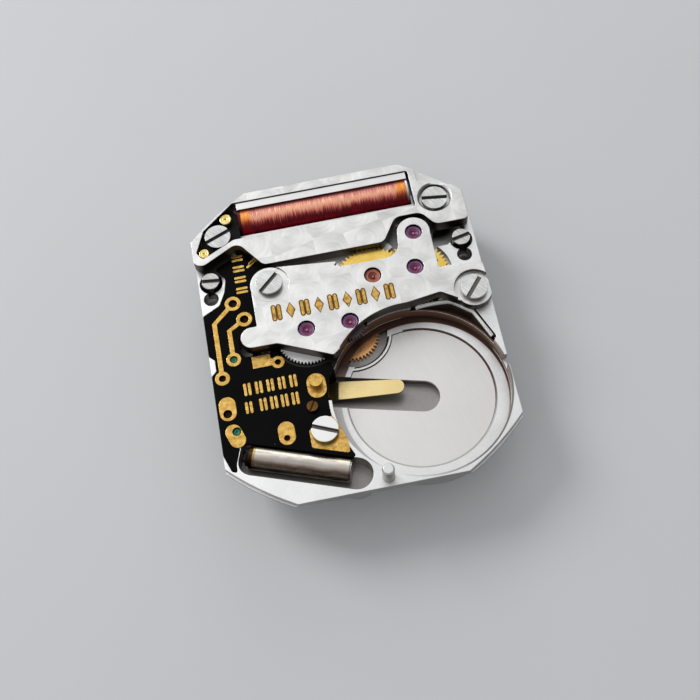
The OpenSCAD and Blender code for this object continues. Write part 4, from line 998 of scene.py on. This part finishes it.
# the dark discs in the board's holes are painted shade; the green ones are green mask
def buildHoleFills(p):
    for name, finish in (("green", "greenMask"), ("shadeDisc", "holeShade")):
        bm = bmesh.new()
        top = p[name + "Top"]
        for (x, y), radius in p[name]:
            profile = [(p["axis"], p["low"]), (radius, p["low"]), (radius, top - p["edge"]),
                       (radius * p["dome"], top), (p["axis"], top - p["dip"])]
            latheInto(bm, profile, (x, y), p["steps"])
        addPiece(name + "Fills", bm, finish, "movement")


buildHoleFills(holeFills)
print("marks and fills laid")


# Studio: pale floor, soft lamps, pale surroundings

studio = {
    "floorZ": -1.26, "floorHalf": 400.0, "floorColour": (0.61, 0.62, 0.63),
    "worldColour": (0.97, 0.98, 1.0), "worldStrength": 0.56,
    "mirrorFrom": -0.15, "mirrorTo": 0.9, "mirrorLow": 0.1, "mirrorHigh": 0.96,
    "bright": (-0.42, 0.62, 0.66), "floorRough": 0.6, "cloudShare": 0.25, "cloudShade": 0.95,
    "grain": {"Length": 3.0, "Width": 3.0, "Cloud Size": 9.0},
    "lamps": [  # name, place, size, power in watts
        ("keyLamp", (-150.0, 160.0, 170.0), 130.0, 0.36),
        ("backLamp", (30.0, 150.0, 60.0), 80.0, 0.03),
    ],
}


def buildStudio(p):
    bm = bmesh.new()
    h = p["floorHalf"]
    bm.faces.new([pointInto(bm, x, y, p["floorZ"]) for x, y in ((-h, -h), (h, -h), (h, h), (-h, h))])
    mesh = bpy.data.meshes.new("floor")
    bm.to_mesh(mesh)
    bm.free()
    floor = newObject("floor", mesh)
    mat, tree, shader = newMaterial("paleTable")
    cloud = groupNode(tree, grainField, **p["grain"])
    base = p["floorColour"]
    shade = mathNode(tree, "MULTIPLY", cloud.outputs["Cloud"], p["cloudShare"])
    shaded = tuple(c * p["cloudShade"] for c in base)
    tree.links.new(mixColours(tree, shade, base, shaded), shader.inputs["Base Color"])
    shader.inputs["Roughness"].default_value = p["floorRough"]
    mesh.materials.append(mat)

    world = bpy.data.worlds.new("paleRoom")
    bpy.context.scene.world = world
    world.use_nodes = True
    tree = world.node_tree
    tree.nodes.clear()
    out = tree.nodes.new("ShaderNodeOutputWorld")
    light = tree.nodes.new("ShaderNodeBackground")
    shown = tree.nodes.new("ShaderNodeBackground")
    rays = tree.nodes.new("ShaderNodeLightPath")
    mix = tree.nodes.new("ShaderNodeMixShader")
    light.inputs["Color"].default_value = (*p["worldColour"], 1.0)
    light.inputs["Strength"].default_value = p["worldStrength"]
    # metal mirrors a room that is bright towards one side and dim on the other
    coords = tree.nodes.new("ShaderNodeTexCoord")
    facing = vectorNode(tree, "DOT_PRODUCT", coords.outputs["Generated"], p["bright"])
    shown.inputs["Color"].default_value = (*p["worldColour"], 1.0)
    glow = rangeNode(tree, facing, p["mirrorFrom"], p["mirrorTo"], p["mirrorLow"], p["mirrorHigh"])
    tree.links.new(glow, shown.inputs["Strength"])
    mirrored = mathNode(tree, "MAXIMUM", rays.outputs["Is Glossy Ray"], rays.outputs["Is Transmission Ray"])
    tree.links.new(mathNode(tree, "MAXIMUM", rays.outputs["Is Camera Ray"], mirrored), mix.inputs[0])
    tree.links.new(light.outputs[0], mix.inputs[1])
    tree.links.new(shown.outputs[0], mix.inputs[2])
    tree.links.new(mix.outputs[0], out.inputs["Surface"])

    for name, place, size, power in p["lamps"]:
        lamp = bpy.data.lights.new(name, "AREA")
        lamp.shape = "DISK"
        lamp.size = size * mm
        lamp.energy = power
        obj = newObject(name, lamp)
        obj.location = Vector(place) * mm
        obj.rotation_euler = (-Vector(place)).to_track_quat("-Z", "Y").to_euler()


buildStudio(studio)

cameraPlace = {
    "lens": 56.57, "sensor": 36.0, "clipNear": 1.0, "clipFar": 2000.0,
    "location": (-1.704, -22.329, 46.665), "turn": (25.107, 3.140, -10.583),
}


def buildCamera(p):
    data = bpy.data.cameras.new("camera")
    data.lens = p["lens"]
    data.sensor_width = p["sensor"]
    data.clip_start = p["clipNear"] * mm
    data.clip_end = p["clipFar"] * mm
    cam = newObject("camera", data)
    cam.location = Vector(p["location"]) * mm
    cam.rotation_euler = [math.radians(a) for a in p["turn"]]
    bpy.context.scene.camera = cam


buildCamera(cameraPlace)
bpy.context.scene.view_settings.view_transform = "Standard"
print("studio and camera ready")
